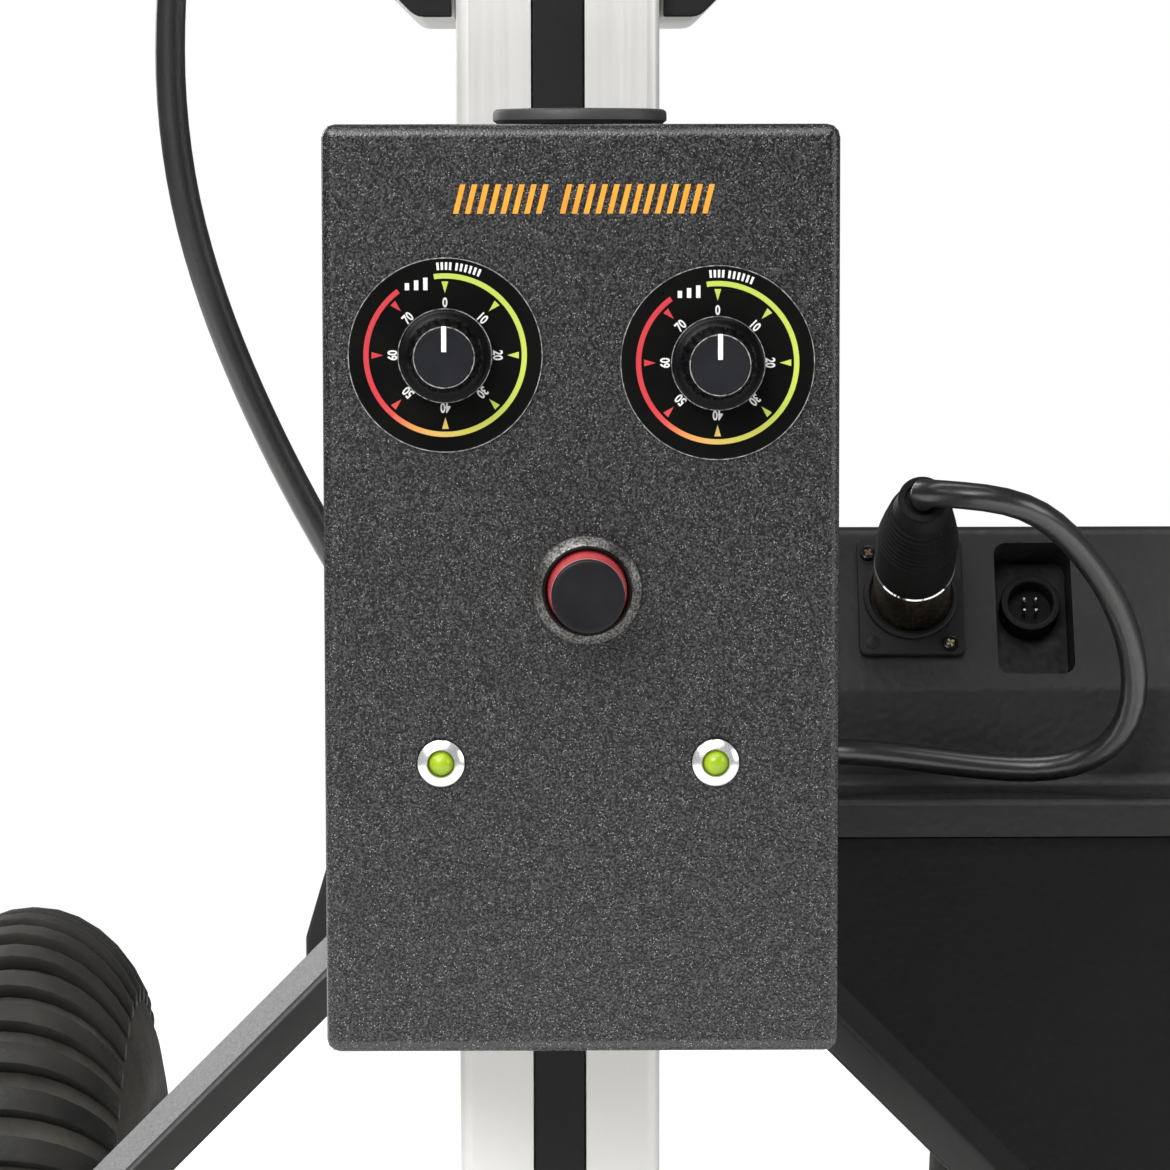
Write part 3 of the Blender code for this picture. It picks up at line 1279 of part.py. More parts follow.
def make_carriage():
    bottom, top = CARRIAGE_BOTTOM, CARRIAGE_TOP
    wide, narrow = CARRIAGE_HALF_WIDTH, CARRIAGE_BOTTOM_HALF_WIDTH
    outline = [(-narrow, bottom), (narrow, bottom), (wide, bottom + CARRIAGE_CHAMFER),
               (wide, top - CARRIAGE_CHAMFER), (narrow, top), (-narrow, top),
               (-wide, top - CARRIAGE_CHAMFER), (-wide, bottom + CARRIAGE_CHAMFER)]
    bm = bmesh.new()
    plate(bm, rounded(outline, 0.004, 3), CARRIAGE_BACK, CARRIAGE_FRONT, "Y")
    carriage = node("carriage", bm, "silver")
    bm = bmesh.new()
    inside = HALF_POST + GAP
    block(bm, (-inside, CARRIAGE_BACK * 2, bottom - CARRIAGE_CHAMFER),
          (inside, inside, top + CARRIAGE_CHAMFER))
    rod(bm, PIN_DIAMETER / 2 + HOLE_CLEARANCE, (-wide * 1.2, PIVOT_Y, PIVOT_Z),
        (wide * 1.2, PIVOT_Y, PIVOT_Z))
    combine(carriage, bm)
    bm = bmesh.new()
    for side in (-1, 1):
        bolt(bm, (side * wide, 0.0, (bottom + PIVOT_Z) / 2), (-side, 0, 0), BOLT_DIAMETER)
    combine(carriage, bm, "UNION")

    rear = CARRIAGE_BACK - GAP
    for side, word in ((-1, "left"), (1, "right")):
        bm = bmesh.new()
        plate(bm, rounded(outline, 0.004, 3), rear - CARRIAGE_COVER, rear, "Y")
        trim(bm, (side * (inside + GAP * 2), 0.0, 0.0), (-side, 0.0, 0.0))
        node("carriage_cover_" + word, bm, "black_plastic")

    bm = bmesh.new()
    outer = wide + GAP + CHEEK_THICKNESS + GAP
    frame = frame_at((-outer - PIN_HEAD_HEIGHT, PIVOT_Y, PIVOT_Z), (1, 0, 0))
    pin, head = PIN_DIAMETER / 2, PIN_DIAMETER * 0.85
    edge, seat = PIN_HEAD_HEIGHT * 0.2, PIN_HEAD_HEIGHT - GAP
    end = outer * 2 + PIN_HEAD_HEIGHT - edge
    profile = [(0.0, 0.0), (head - edge, 0.0), (head, edge), (head, seat),
               (pin, seat), (pin, end), (0.0, end)]
    turned(bm, profile, 20, frame)
    node("tilt_pin", bm, "steel")


# The clamp knob's origin is on the tilt pivot
def make_clamp_knob():
    start = CARRIAGE_HALF_WIDTH + GAP + CHEEK_THICKNESS + GAP * 2
    radius = CLAMP_KNOB_DIAMETER / 2
    boss = PIN_DIAMETER * 0.9
    bm = bmesh.new()
    outline = []
    lobes, steps = 6, 24
    for step in range(steps):
        angle = math.tau * step / steps
        reach = radius * (0.90 + 0.10 * math.cos(lobes * angle))
        outline.append((reach * math.cos(angle), reach * math.sin(angle)))
    grip = start + CLAMP_KNOB_LENGTH * 0.35
    plate(bm, outline, grip, start + CLAMP_KNOB_LENGTH, "X")
    knob = node("clamp_knob", bm, "black_plastic", (0.0, PIVOT_Y, PIVOT_Z))
    bm = bmesh.new()
    rod(bm, boss, (start, 0.0, 0.0), (grip + CLAMP_KNOB_LENGTH * 0.2, 0.0, 0.0), 24)
    combine(knob, bm, "UNION")


def make_deck():
    bottom, top = DECK_BOTTOM, DECK_BOTTOM + DECK_THICKNESS
    centre_y = WHEEL_CENTRE_Y
    bm = bmesh.new()
    outline = []
    for side in (1, -1):
        for step in range(13):
            angle = side * math.pi / 2 * (-1 + 2 * step / 12) if side == 1 else (
                math.pi / 2 + math.pi * step / 12)
            outline.append((side * LAUNCH_SPREAD + DECK_END_RADIUS * math.cos(angle),
                            centre_y + DECK_END_RADIUS * math.sin(angle)))
    plate(bm, outline, bottom, top, "Z")
    deck = node("head_deck", bm, "silver")

    bm = bmesh.new()
    low = CARRIAGE_HALF_WIDTH + GAP
    half = CHEEK_TOP_HALF_LENGTH
    for side in (-1, 1):
        outline = [(PIVOT_Y + half, bottom + DECK_THICKNESS / 2),
                   (PIVOT_Y - half, bottom + DECK_THICKNESS / 2)]
        for step in range(9):
            angle = math.radians(200.0 + 140.0 * step / 8)
            outline.append((PIVOT_Y + CHEEK_RADIUS * math.cos(angle),
                            PIVOT_Z + CHEEK_RADIUS * math.sin(angle)))
        inner, outer = side * low, side * (low + CHEEK_THICKNESS)
        plate(bm, outline, min(inner, outer), max(inner, outer), "X")
    combine(deck, bm, "UNION")

    bm = bmesh.new()
    reach = low + CHEEK_THICKNESS * 2
    rod(bm, PIN_DIAMETER / 2 + RUNNING_GAP, (-reach, PIVOT_Y, PIVOT_Z), (reach, PIVOT_Y, PIVOT_Z))
    for side in (-1, 1):
        at = (side * LAUNCH_SPREAD, centre_y, bottom - DECK_THICKNESS)
        boss = MOTOR_SHAFT_DIAMETER
        rod(bm, boss + HOLE_CLEARANCE, at, (at[0], at[1], top + DECK_THICKNESS), 20)
    gland_at = (DECK_GLAND_X, DECK_GLAND_Y, bottom - DECK_THICKNESS)
    rod(bm, GLAND_THREAD_DIAMETER / 2 + HOLE_CLEARANCE, gland_at,
        (DECK_GLAND_X, DECK_GLAND_Y, top + DECK_THICKNESS))
    combine(deck, bm)


def make_motors():
    for side, word in ((-1, "left"), (1, "right")):
        bm = bmesh.new()
        body, shaft, boss = MOTOR_DIAMETER / 2, MOTOR_SHAFT_DIAMETER / 2, MOTOR_SHAFT_DIAMETER
        top = DECK_BOTTOM - GAP
        rise = DECK_THICKNESS + GAP
        foot = -MOTOR_LENGTH
        profile = [(0.0, foot - shaft), (boss, foot - shaft), (boss, foot), (body, foot),
                   (body, 0.0), (boss, 0.0), (boss, rise), (shaft, rise),
                   (shaft, rise + MOTOR_SHAFT_REACH), (0.0, rise + MOTOR_SHAFT_REACH)]
        turned(bm, profile, 24, frame_at((side * LAUNCH_SPREAD, WHEEL_CENTRE_Y, top), (0, 0, 1)))
        node("motor_" + word, bm, "black_paint")


# Each launch wheel's origin is on its motor's shaft, at the middle of its width
def make_launch_wheels():
    radius, half = LAUNCH_DIAMETER / 2, LAUNCH_WIDTH / 2
    inner = radius - LAUNCH_TYRE_WALL
    hub, bore = LAUNCH_HUB_DIAMETER / 2, MOTOR_SHAFT_DIAMETER / 2 + GAP
    web = LAUNCH_WEB / 2
    for side, word in ((-1, "left"), (1, "right")):
        bm = bmesh.new()
        profile = [(bore, -half), (hub, -half), (hub, -web), (inner, -web), (inner, -half),
                   (radius, -half), (radius, half), (inner, half), (inner, web), (hub, web),
                   (hub, half), (bore, half)]
        turned(bm, profile, 32)
        at = (side * LAUNCH_SPREAD, WHEEL_CENTRE_Y, BALL_HEIGHT)
        node("launch_wheel_" + word, bm, "wheel_rubber", at)


def make_guards():
    inner = LAUNCH_DIAMETER / 2 + GUARD_GAP
    outer = inner + GUARD_WALL
    bottom = DECK_BOTTOM + DECK_THICKNESS + GAP
    steps = 18
    for side, word in ((-1, "left"), (1, "right")):
        outline = []
        for radius, order in ((outer, 1), (inner, -1)):
            for step in range(steps + 1):
                share = (step if order == 1 else steps - step) / steps - 0.5
                angle = (0.0 if side == 1 else math.pi) + GUARD_SWEEP * share
                outline.append((side * LAUNCH_SPREAD + radius * math.cos(angle),
                                WHEEL_CENTRE_Y + radius * math.sin(angle)))
        bm = bmesh.new()
        plate(bm, outline, bottom, bottom + GUARD_HEIGHT, "Z")
        node("wheel_guard_" + word, bm, "black_paint")


def make_trough():
    bm = bmesh.new()
    outer = TROUGH_RADIUS + TROUGH_WALL
    outline = []
    for radius, order in ((outer, 1), (TROUGH_RADIUS, -1)):
        for step in range(17):
            angle = math.pi + math.pi * (step if order == 1 else 16 - step) / 16
            outline.append((radius * math.cos(angle), trough_axis() + radius * math.sin(angle)))
    plate(bm, outline, TROUGH_BACK, TROUGH_FRONT, "Y")
    node("feed_trough", bm, "black_plastic")


def trough_axis():
    return DECK_BOTTOM + DECK_THICKNESS + GAP + TROUGH_WALL + TROUGH_RADIUS


def main():
    clear_scene()
    make_post()
    make_box_shell()
    make_rear_cover()
    make_bracket()
    make_top_cap()
    make_dials()
    make_knobs()
    make_button()
    make_lamps()
    make_board()
    make_glands()
    make_hub()
    make_legs()
    make_base()
    make_axle()
    make_wheels()
    make_arm()
    make_case()
    make_lid()
    make_sockets()
    make_carriage()
    make_clamp_knob()
    make_deck()
    make_motors()
    make_launch_wheels()
    make_guards()
    make_trough()
    make_cables()


main()
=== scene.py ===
import json
import math

import bmesh
import bpy
from mathutils import Matrix, Vector


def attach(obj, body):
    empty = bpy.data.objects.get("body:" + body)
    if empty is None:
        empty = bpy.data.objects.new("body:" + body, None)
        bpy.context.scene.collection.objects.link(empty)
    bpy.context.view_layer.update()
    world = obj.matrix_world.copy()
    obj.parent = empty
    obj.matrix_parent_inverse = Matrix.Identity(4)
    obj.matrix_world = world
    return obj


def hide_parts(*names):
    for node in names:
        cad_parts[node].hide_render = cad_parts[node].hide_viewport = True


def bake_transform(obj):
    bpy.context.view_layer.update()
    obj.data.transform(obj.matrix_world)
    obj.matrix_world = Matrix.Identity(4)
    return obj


# Two-wheel ball launcher, seen from the operator's side
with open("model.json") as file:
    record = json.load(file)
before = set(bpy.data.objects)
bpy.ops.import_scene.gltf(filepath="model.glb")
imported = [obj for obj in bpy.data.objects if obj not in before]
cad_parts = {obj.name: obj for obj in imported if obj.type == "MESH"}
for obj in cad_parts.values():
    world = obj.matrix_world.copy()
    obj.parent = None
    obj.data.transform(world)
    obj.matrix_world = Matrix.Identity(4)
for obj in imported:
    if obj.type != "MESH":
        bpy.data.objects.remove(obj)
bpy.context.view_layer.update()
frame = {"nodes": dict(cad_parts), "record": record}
bodies = frame["record"]["behaviour"]["bodies"]
bodyOf = {node: body for body, held in bodies.items() for node in held}
postY = -0.195            # world Y of the post's axis
panelFace = -0.269        # world Y of the control box's front
print("frame loaded:", len(bodyOf), "nodes")


def added(name, data):
    made = bpy.data.objects.new(name, data)
    bpy.context.collection.objects.link(made)
    return made


# The camera stands where the photograph was taken from
camera = {"place": (-0.0043, -1.0932, 0.470), "down": 4.959, "right": 0.618, "roll": 0.094, "lens": 136.92}


def makeCamera():
    seen = bpy.data.cameras.new("camera")
    seen.lens = camera["lens"]
    seen.sensor_width = 36
    seen.clip_start = 0.05
    holder = added("camera", seen)
    turn = (Matrix.Rotation(math.radians(-camera["right"]), 4, "Z")
            @ Matrix.Rotation(math.radians(90 - camera["down"]), 4, "X")
            @ Matrix.Rotation(math.radians(-camera["roll"]), 4, "Z"))
    holder.matrix_world = Matrix.Translation(camera["place"]) @ turn
    bpy.context.scene.camera = holder


makeCamera()
print("camera set")


# Tones are linear colours; patch and grain are texture scales per metre and relief is the grain's height in
# metres; stretch squeezes the grain along an axis, and edge sharpens the patches
def finishOf(dark, light, patch, rough, grain, relief, **more):
    return {"tones": (dark, light), "patch": patch, "rough": rough, "grain": grain, "relief": relief,
            **more}


finishes = {
    "satinAluminium": finishOf((0.72, 0.71, 0.69), (0.81, 0.80, 0.78), 14, (0.36, 0.50), 1400, 0.00002,
        metal=0.30, stretch=(1, 1, 0.015)),
    "millAluminium": finishOf((0.40, 0.40, 0.395), (0.52, 0.515, 0.50), 20, (0.32, 0.48), 1800, 0.00002,
        metal=0.85, stretch=(0.03, 1, 1)),
    "brightSteel": finishOf((0.46, 0.46, 0.47), (0.66, 0.66, 0.66), 60, (0.18, 0.34), 2200, 0.00002,
        metal=1.0),
    "chrome": finishOf((0.76, 0.77, 0.78), (0.86, 0.86, 0.86), 90, (0.05, 0.12), 3000, 0.000004,
        metal=1.0),
    "turnedSilver": finishOf((0.74, 0.75, 0.76), (0.90, 0.90, 0.89), 260, (0.16, 0.28), 5200, 0.000006,
        metal=0.75),
    "agedBrass": finishOf((0.120, 0.088, 0.050), (0.380, 0.300, 0.190), 110, (0.22, 0.38), 1500, 0.00001,
        metal=1.0),
    "powderCoat": finishOf((0.012, 0.0118, 0.0115), (0.021, 0.0205, 0.020), 30, (0.34, 0.50), 1500,
        0.00004, gloss=0.35),
    "moulded": finishOf((0.009, 0.009, 0.009), (0.016, 0.016, 0.016), 45, (0.36, 0.52), 2600, 0.00002,
        gloss=0.30),
    "mattPlastic": finishOf((0.006, 0.006, 0.0062), (0.011, 0.011, 0.011), 45, (0.50, 0.64), 3200,
        0.00003, gloss=0.26),
    "knobPlastic": finishOf((0.0020, 0.0020, 0.0024), (0.0040, 0.0040, 0.0048), 150, (0.22, 0.34), 4200,
        0.00002, gloss=0.10),
    "knobDisc": finishOf((0.009, 0.0095, 0.0125), (0.014, 0.0145, 0.0180), 210, (0.36, 0.48), 5200,
        0.00001, gloss=0.14),
    "topPlastic": finishOf((0.040, 0.040, 0.041), (0.062, 0.062, 0.063), 90, (0.44, 0.58), 3200, 0.00003,
        gloss=0.40),
    "castBezel": finishOf((0.034, 0.032, 0.029), (0.17, 0.166, 0.158), 2300, (0.26, 0.42), 2600, 0.00008,
        edge=(0.40, 0.62), metal=0.85),
    "lipPlastic": finishOf((0.003, 0.003, 0.003), (0.006, 0.006, 0.006), 160, (0.10, 0.18), 2600,
        0.00002, gloss=0.45),
    "capPlastic": finishOf((0.007, 0.007, 0.008), (0.014, 0.014, 0.016), 90, (0.30, 0.42), 4200, 0.00001,
        gloss=0.18),
    # a pale pink for a thin ring under the button's cap: a painted highlight
    "rimHighlightPaint": finishOf((0.62, 0.30, 0.30), (0.74, 0.42, 0.42), 160, (0.20, 0.32), 4200, 0.00001),
    "dialFilm": finishOf((0.0022, 0.0022, 0.0022), (0.0044, 0.0044, 0.0040), 120, (0.28, 0.40), 5200,
        0.000004, gloss=0.08),
    # patchy pale grey for thin edge rings on the dials and knobs: painted highlights
    "edgeHighlightPaint": finishOf((0.06, 0.06, 0.06), (0.34, 0.34, 0.34), 900, (0.40, 0.56), 4200, 0.00001,
        edge=(0.36, 0.64)),
    # one moulded plastic for the battery case in two tones: the body painted darker as painted shade below
    # the lid's ledge, the lid lighter and glossier
    "caseGrainShaded": finishOf((0.0030, 0.0028, 0.0028), (0.0060, 0.0056, 0.0056), 16, (0.44, 0.60), 520,
        0.00016, cells=True, gloss=0.20),
    "lidGrainLit": finishOf((0.0100, 0.0094, 0.0094), (0.0180, 0.0170, 0.0170), 16, (0.40, 0.56), 520,
        0.00016, cells=True, gloss=0.40),
    "cableJacket": finishOf((0.010, 0.0095, 0.0095), (0.018, 0.017, 0.017), 60, (0.27, 0.33), 2600,
        0.000004, gloss=0.9),
    "softRubber": finishOf((0.004, 0.0039, 0.0038), (0.008, 0.0077, 0.0074), 60, (0.44, 0.60), 2100,
        0.00004, gloss=0.24),
    "dustyTyre": finishOf((0.020, 0.019, 0.017), (0.085, 0.078, 0.066), 34, (0.66, 0.88), 700, 0.00020,
        gloss=0.25),
    "wornLug": finishOf((0.012, 0.012, 0.012), (0.036, 0.034, 0.030), 40, (0.50, 0.72), 900, 0.00012,
        gloss=0.25),
    "greyUrethane": finishOf((0.12, 0.12, 0.12), (0.18, 0.18, 0.175), 40, (0.52, 0.70), 900, 0.00008),
    "batteryCase": finishOf((0.060, 0.060, 0.066), (0.090, 0.090, 0.098), 30, (0.42, 0.56), 1500, 0.00003),
    "boardLacquer": finishOf((0.008, 0.085, 0.032), (0.014, 0.140, 0.055), 180, (0.22, 0.34), 800,
        0.00003),
    "whiteInk": finishOf((0.70, 0.70, 0.68), (0.82, 0.82, 0.80), 400, (0.42, 0.54), 4000, 0.000004),
    "orangeInk": finishOf((0.70, 0.25, 0.012), (0.82, 0.33, 0.022), 400, (0.40, 0.52), 2600, 0.00001),
    "paleFloor": finishOf((0.87, 0.87, 0.86), (0.90, 0.90, 0.89), 3, (0.62, 0.74), 140, 0.00004,
        gloss=0.2),
}
materials = {}


def textureNode(tree, kind, scale, source, **settings):
    made = tree.nodes.new(kind)
    for word, value in settings.items():
        if word in made.inputs:
            made.inputs[word].default_value = value
        else:
            setattr(made, word, value)
    made.inputs["Scale"].default_value = scale
    tree.links.new(source, made.inputs["Vector"])
    return made


def rangeOf(tree, source, low, high, start=0.3, end=0.7):
    made = tree.nodes.new("ShaderNodeMapRange")
    for word, value in (("From Min", start), ("From Max", end), ("To Min", low), ("To Max", high)):
        made.inputs[word].default_value = value
    tree.links.new(source, made.inputs["Value"])
    return made.outputs["Result"]


def objectPlace(tree):
    return next(node for node in tree.nodes if node.type == "TEX_COORD").outputs["Object"]


def mixed(tree, share, first, second):
    made = tree.nodes.new("ShaderNodeMix")
    made.data_type = "RGBA"
    tree.links.new(share, made.inputs[0])
    for socket, value in ((made.inputs[6], first), (made.inputs[7], second)):
        if isinstance(value, tuple):
            socket.default_value = (*value, 1.0)
        else:
            tree.links.new(value, socket)
    return made.outputs[2]


# One procedural finish: patches of tone, uneven gloss and a fine grain
def makeFinish(name, spec):
    made = bpy.data.materials.new(name)
    made.use_nodes = True
    tree = made.node_tree
    shader = tree.nodes["Principled BSDF"]
    place = tree.nodes.new("ShaderNodeTexCoord").outputs["Object"]
    if "stretch" in spec:
        squeeze = tree.nodes.new("ShaderNodeMapping")
        squeeze.inputs["Scale"].default_value = spec["stretch"]
        tree.links.new(place, squeeze.inputs["Vector"])
        grainPlace = squeeze.outputs["Vector"]
    else:
        grainPlace = place
    patches = textureNode(tree, "ShaderNodeTexNoise", spec["patch"], place, Detail=4.0)
    grain = textureNode(tree, "ShaderNodeTexNoise", spec["grain"], grainPlace, Detail=3.0)
    relief = grain.outputs["Fac"]
    if spec.get("cells"):
        cells = textureNode(tree, "ShaderNodeTexVoronoi", spec["grain"], grainPlace, feature="SMOOTH_F1")
        relief = cells.outputs["Distance"]
    share = rangeOf(tree, patches.outputs["Fac"], 0.0, 1.0, *spec.get("edge", (0.3, 0.7)))
    colour = mixed(tree, share, spec["tones"][0], spec["tones"][1])
    tree.links.new(colour, shader.inputs["Base Color"])
    tree.links.new(rangeOf(tree, grain.outputs["Fac"], *spec["rough"]), shader.inputs["Roughness"])
    shader.inputs["Metallic"].default_value = spec.get("metal", 0.0)
    shader.inputs["Specular IOR Level"].default_value = spec.get("gloss", 0.5)
    bump = tree.nodes.new("ShaderNodeBump")
    bump.inputs["Strength"].default_value = spec.get("strength", 0.8)
    bump.inputs["Distance"].default_value = spec["relief"]
    tree.links.new(relief, bump.inputs["Height"])
    tree.links.new(bump.outputs["Normal"], shader.inputs["Normal"])
    materials[name] = made
    return made


# The control box's skin: a coarse sprayed texture, with pale flecks painted into its colour as painted
# glints
boxSkin = {
    "dark": (0.0035, 0.0035, 0.0036), "light": (0.036, 0.036, 0.038), "paintedGlint": (0.42, 0.42, 0.43),
    "bumps": 2300, "glintScale": 2300, "relief": 0.00012, "rough": (0.20, 0.32), "edge": (0.46, 0.60),
    "gloss": 0.70, "glintEdge": (0.10, 0.28), "glintShare": (0.46, 0.56)}


def makeBoxSkin():
    bumps = boxSkin["bumps"]
    made = makeFinish("boxSkin", finishOf(
        boxSkin["dark"], boxSkin["light"], bumps, boxSkin["rough"], bumps, boxSkin["relief"],
        edge=boxSkin["edge"], strength=1.0, gloss=boxSkin["gloss"]))
    tree = made.node_tree
    shader = tree.nodes["Principled BSDF"]
    place = objectPlace(tree)
    # painted glints: pale flecks put into the base colour on small cells, about half of them kept
    glintCells = textureNode(tree, "ShaderNodeTexVoronoi", boxSkin["glintScale"], place)
    share = rangeOf(tree, glintCells.outputs["Distance"], 1.0, 0.0, *boxSkin["glintEdge"])
    chosen = textureNode(tree, "ShaderNodeTexNoise", boxSkin["glintScale"] / 2.1, place, Detail=2.0)
    glintMask = tree.nodes.new("ShaderNodeMath")
    glintMask.operation = "MULTIPLY"
    tree.links.new(share, glintMask.inputs[0])
    tree.links.new(rangeOf(tree, chosen.outputs["Fac"], 0.0, 1.0, *boxSkin["glintShare"]), glintMask.inputs[1])
    under = shader.inputs["Base Color"].links[0].from_socket
    withPaintedGlints = mixed(tree, glintMask.outputs["Value"], under, boxSkin["paintedGlint"])
    tree.links.new(withPaintedGlints, shader.inputs["Base Color"])


# The dial's colour arc by bearing, clockwise from green through yellow and orange to red
scaleColours = ((-8, (0.45, 0.54, 0.080)), (135, (0.46, 0.54, 0.080)), (165, (0.57, 0.53, 0.095)),
                (182, (0.64, 0.44, 0.11)), (203, (0.66, 0.27, 0.08)), (222, (0.56, 0.060, 0.056)),
                (236, (0.52, 0.036, 0.046)), (324, (0.52, 0.036, 0.046)))
scaleSeam = -22          # the bearing, in the arc's gap, where the sweep starts


def makeScaleInk(name, centre):
    under = scaleColours[0][1]
    made = makeFinish(name, finishOf(under, under, 400, (0.40, 0.54), 4000, 0.000004, gloss=0.3))
    tree = made.node_tree
    shader = tree.nodes["Principled BSDF"]
    place = objectPlace(tree)
    turn = tree.nodes.new("ShaderNodeMapping")
    turn.vector_type = "TEXTURE"
    turn.inputs["Location"].default_value = centre
    turn.inputs["Rotation"].default_value = (math.radians(90), math.radians(90 + scaleSeam), 0)
    tree.links.new(place, turn.inputs["Vector"])
    sweep = tree.nodes.new("ShaderNodeTexGradient")
    sweep.gradient_type = "RADIAL"
    tree.links.new(turn.outputs["Vector"], sweep.inputs["Vector"])
    ramp = tree.nodes.new("ShaderNodeValToRGB")
    tree.links.new(sweep.outputs["Fac"], ramp.inputs["Fac"])
    stops = ramp.color_ramp.elements
    stops.remove(stops[1])
    for count, (bearing, colour) in enumerate(reversed(scaleColours)):
        at = 1 - (bearing - scaleSeam) / 360
        stop = stops[0] if count == 0 else stops.new(at)
        stop.position = at
        stop.color = (*colour, 1.0)
    tree.links.new(ramp.outputs["Color"], shader.inputs["Base Color"])
    return made


# Clear coloured plastics; the red one is painted darker down in its recess, between two depths from the
# panel, as painted shade
clearPlastics = {
    "redLens": {"tones": ((0.48, 0.040, 0.048), (0.62, 0.075, 0.086)), "rough": (0.16, 0.28), "glow": 0.06,
                "recessShade": (0.012, 0.002, 0.003), "shadeDepths": (0.0014, 0.0040)},
    "limeLens": {"tones": ((0.21, 0.35, 0.006), (0.34, 0.46, 0.014)), "rough": (0.14, 0.26), "glow": 0.07}}


def makeClear(name, spec):
    made = makeFinish(name, finishOf(*spec["tones"], 260, spec["rough"], 2400, 0.00001))
    tree = made.node_tree
    shader = tree.nodes["Principled BSDF"]
    # emission: the lime lamp's own glow, and on the red plunger, which is no lamp, a painted glow
    shader.inputs["Emission Color"].default_value = (*spec["tones"][1], 1.0)
    shader.inputs["Emission Strength"].default_value = spec["glow"]
    if "shadeDepths" in spec:
        # painted shade: the red's colour darkens to the recess colour towards the panel, between the two
        # depths
        split = tree.nodes.new("ShaderNodeSeparateXYZ")
        place = objectPlace(tree)
        tree.links.new(place, split.inputs["Vector"])
        low, high = (panelFace - depth for depth in spec["shadeDepths"])
        share = rangeOf(tree, split.outputs["Y"], 0.0, 1.0, low, high)
        under = shader.inputs["Base Color"].links[0].from_socket
        tree.links.new(mixed(tree, share, spec["recessShade"], under), shader.inputs["Base Color"])
    return made


for finish in finishes:
    makeFinish(finish, finishes[finish])
makeBoxSkin()
for plastic in clearPlastics:
    makeClear(plastic, clearPlastics[plastic])
print("finishes made:", len(materials))


# A mesh becomes a named piece that rides on a body and may stand for CAD nodes
def finished(name, bm, material, body, replaces=(), sharp=34, flat=False):
    bmesh.ops.remove_doubles(bm, verts=bm.verts, dist=1e-6)
    bmesh.ops.recalc_face_normals(bm, faces=bm.faces)
    return linked(name, bm, material, body, replaces, sharp, flat)


def linked(name, bm, material, body, replaces=(), sharp=34, flat=False):
    mesh = bpy.data.meshes.new(name)
    bm.to_mesh(mesh)
    bm.free()
    if not flat:
        mesh.shade_smooth()
        mesh.set_sharp_from_angle(angle=math.radians(sharp))
    piece = added(name, mesh)
    mesh.materials.append(materials[material])
    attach(piece, body)
    if replaces:
        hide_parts(*replaces)
    return piece


def softened(bm, width, segments=2, sharp=36):
    edges = [e for e in bm.edges if e.is_manifold and e.calc_face_angle(0.0) > math.radians(sharp)]
    bmesh.ops.bevel(bm, geom=edges, offset=width, segments=segments, profile=0.5,
                    affect="EDGES", material=-1, clamp_overlap=True)


# A CAD node's form, merged, with its sharp edges rounded
def dressed(node, material, width=0.0004, segments=2, sharp=36, trims=()):
    bm = bmesh.new()
    bm.from_mesh(frame["nodes"][node].data)
    bmesh.ops.remove_doubles(bm, verts=bm.verts, dist=1e-6)
    bmesh.ops.dissolve_limit(bm, angle_limit=math.radians(0.8), verts=bm.verts, edges=bm.edges)
    for at, outward in trims:
        bmesh.ops.bisect_plane(bm, geom=bm.verts[:] + bm.edges[:] + bm.faces[:], plane_co=at,
                               plane_no=outward, clear_outer=True)
        bmesh.ops.holes_fill(bm, edges=[edge for edge in bm.edges if edge.is_boundary], sides=0)
    if width:
        softened(bm, width, segments, sharp)
    piece = linked(node + "_finish", bm, material, bodyOf[node], (node,))
    evened = piece.modifiers.new("evenShading", "WEIGHTED_NORMAL")
    evened.keep_sharp = True
    return piece


def islands(verts):
    found, waiting = set(verts), list(verts)
    while waiting:
        for edge in waiting.pop().link_edges:
            for vert in edge.verts:
                if vert not in found:
                    found.add(vert)
                    waiting.append(vert)
    return list(found)


# A profile of (radius, height) points spun about Z and set in a frame
def turned(bm, profile, place=Matrix(), segments=64):
    verts = [bm.verts.new((radius, 0.0, height)) for radius, height in profile]
    edges = [bm.edges.new(pair) for pair in zip(verts, verts[1:])]
    if profile[0][0] > 0.0:
        edges.append(bm.edges.new((verts[-1], verts[0])))
    bmesh.ops.spin(bm, geom=verts + edges, cent=(0, 0, 0), axis=(0, 0, 1), angle=math.tau,
                   steps=segments, use_merge=True, use_duplicate=False)
    ring = islands(verts)
    bmesh.ops.remove_doubles(bm, verts=ring, dist=1e-7)
    ring = islands([vert for vert in ring if vert.is_valid])
    bmesh.ops.transform(bm, matrix=place, verts=ring)
    return ring


def slab(bm, low, high, place=Matrix(), bevel=0.0, segments=2):
    size, middle = Vector(high) - Vector(low), (Vector(high) + Vector(low)) / 2
    verts = bmesh.ops.create_cube(bm, size=1.0, matrix=Matrix.Translation(middle)
                                  @ Matrix.Diagonal((*size, 1.0)))["verts"]
    if bevel:
        edges = list({edge for vert in verts for edge in vert.link_edges})
        made = bmesh.ops.bevel(bm, geom=edges, offset=bevel, segments=segments, profile=0.5,
                               affect="EDGES", material=-1, clamp_overlap=True)
        verts = islands(list({vert for face in made["faces"] for vert in face.verts}))
    bmesh.ops.transform(bm, matrix=place, verts=verts)
    return verts


# A thin flat ring between two radii and two heights
def thinRing(bm, place, inner, outer, low, high, segments=96):
    turned(bm, [(inner, low), (outer, low), (outer, high), (inner, high)], place, segments)


def turnedPiece(name, material, body, place, segments, profile, replaces=()):
    bm = bmesh.new()
    turned(bm, profile, place, segments)
    finished(name, bm, material, body, replaces)


# A frame whose Z runs along a direction
def facing(at, direction):
    turn = Vector((0, 0, 1)).rotation_difference(Vector(direction))
    return Matrix.Translation(at) @ turn.to_matrix().to_4x4()


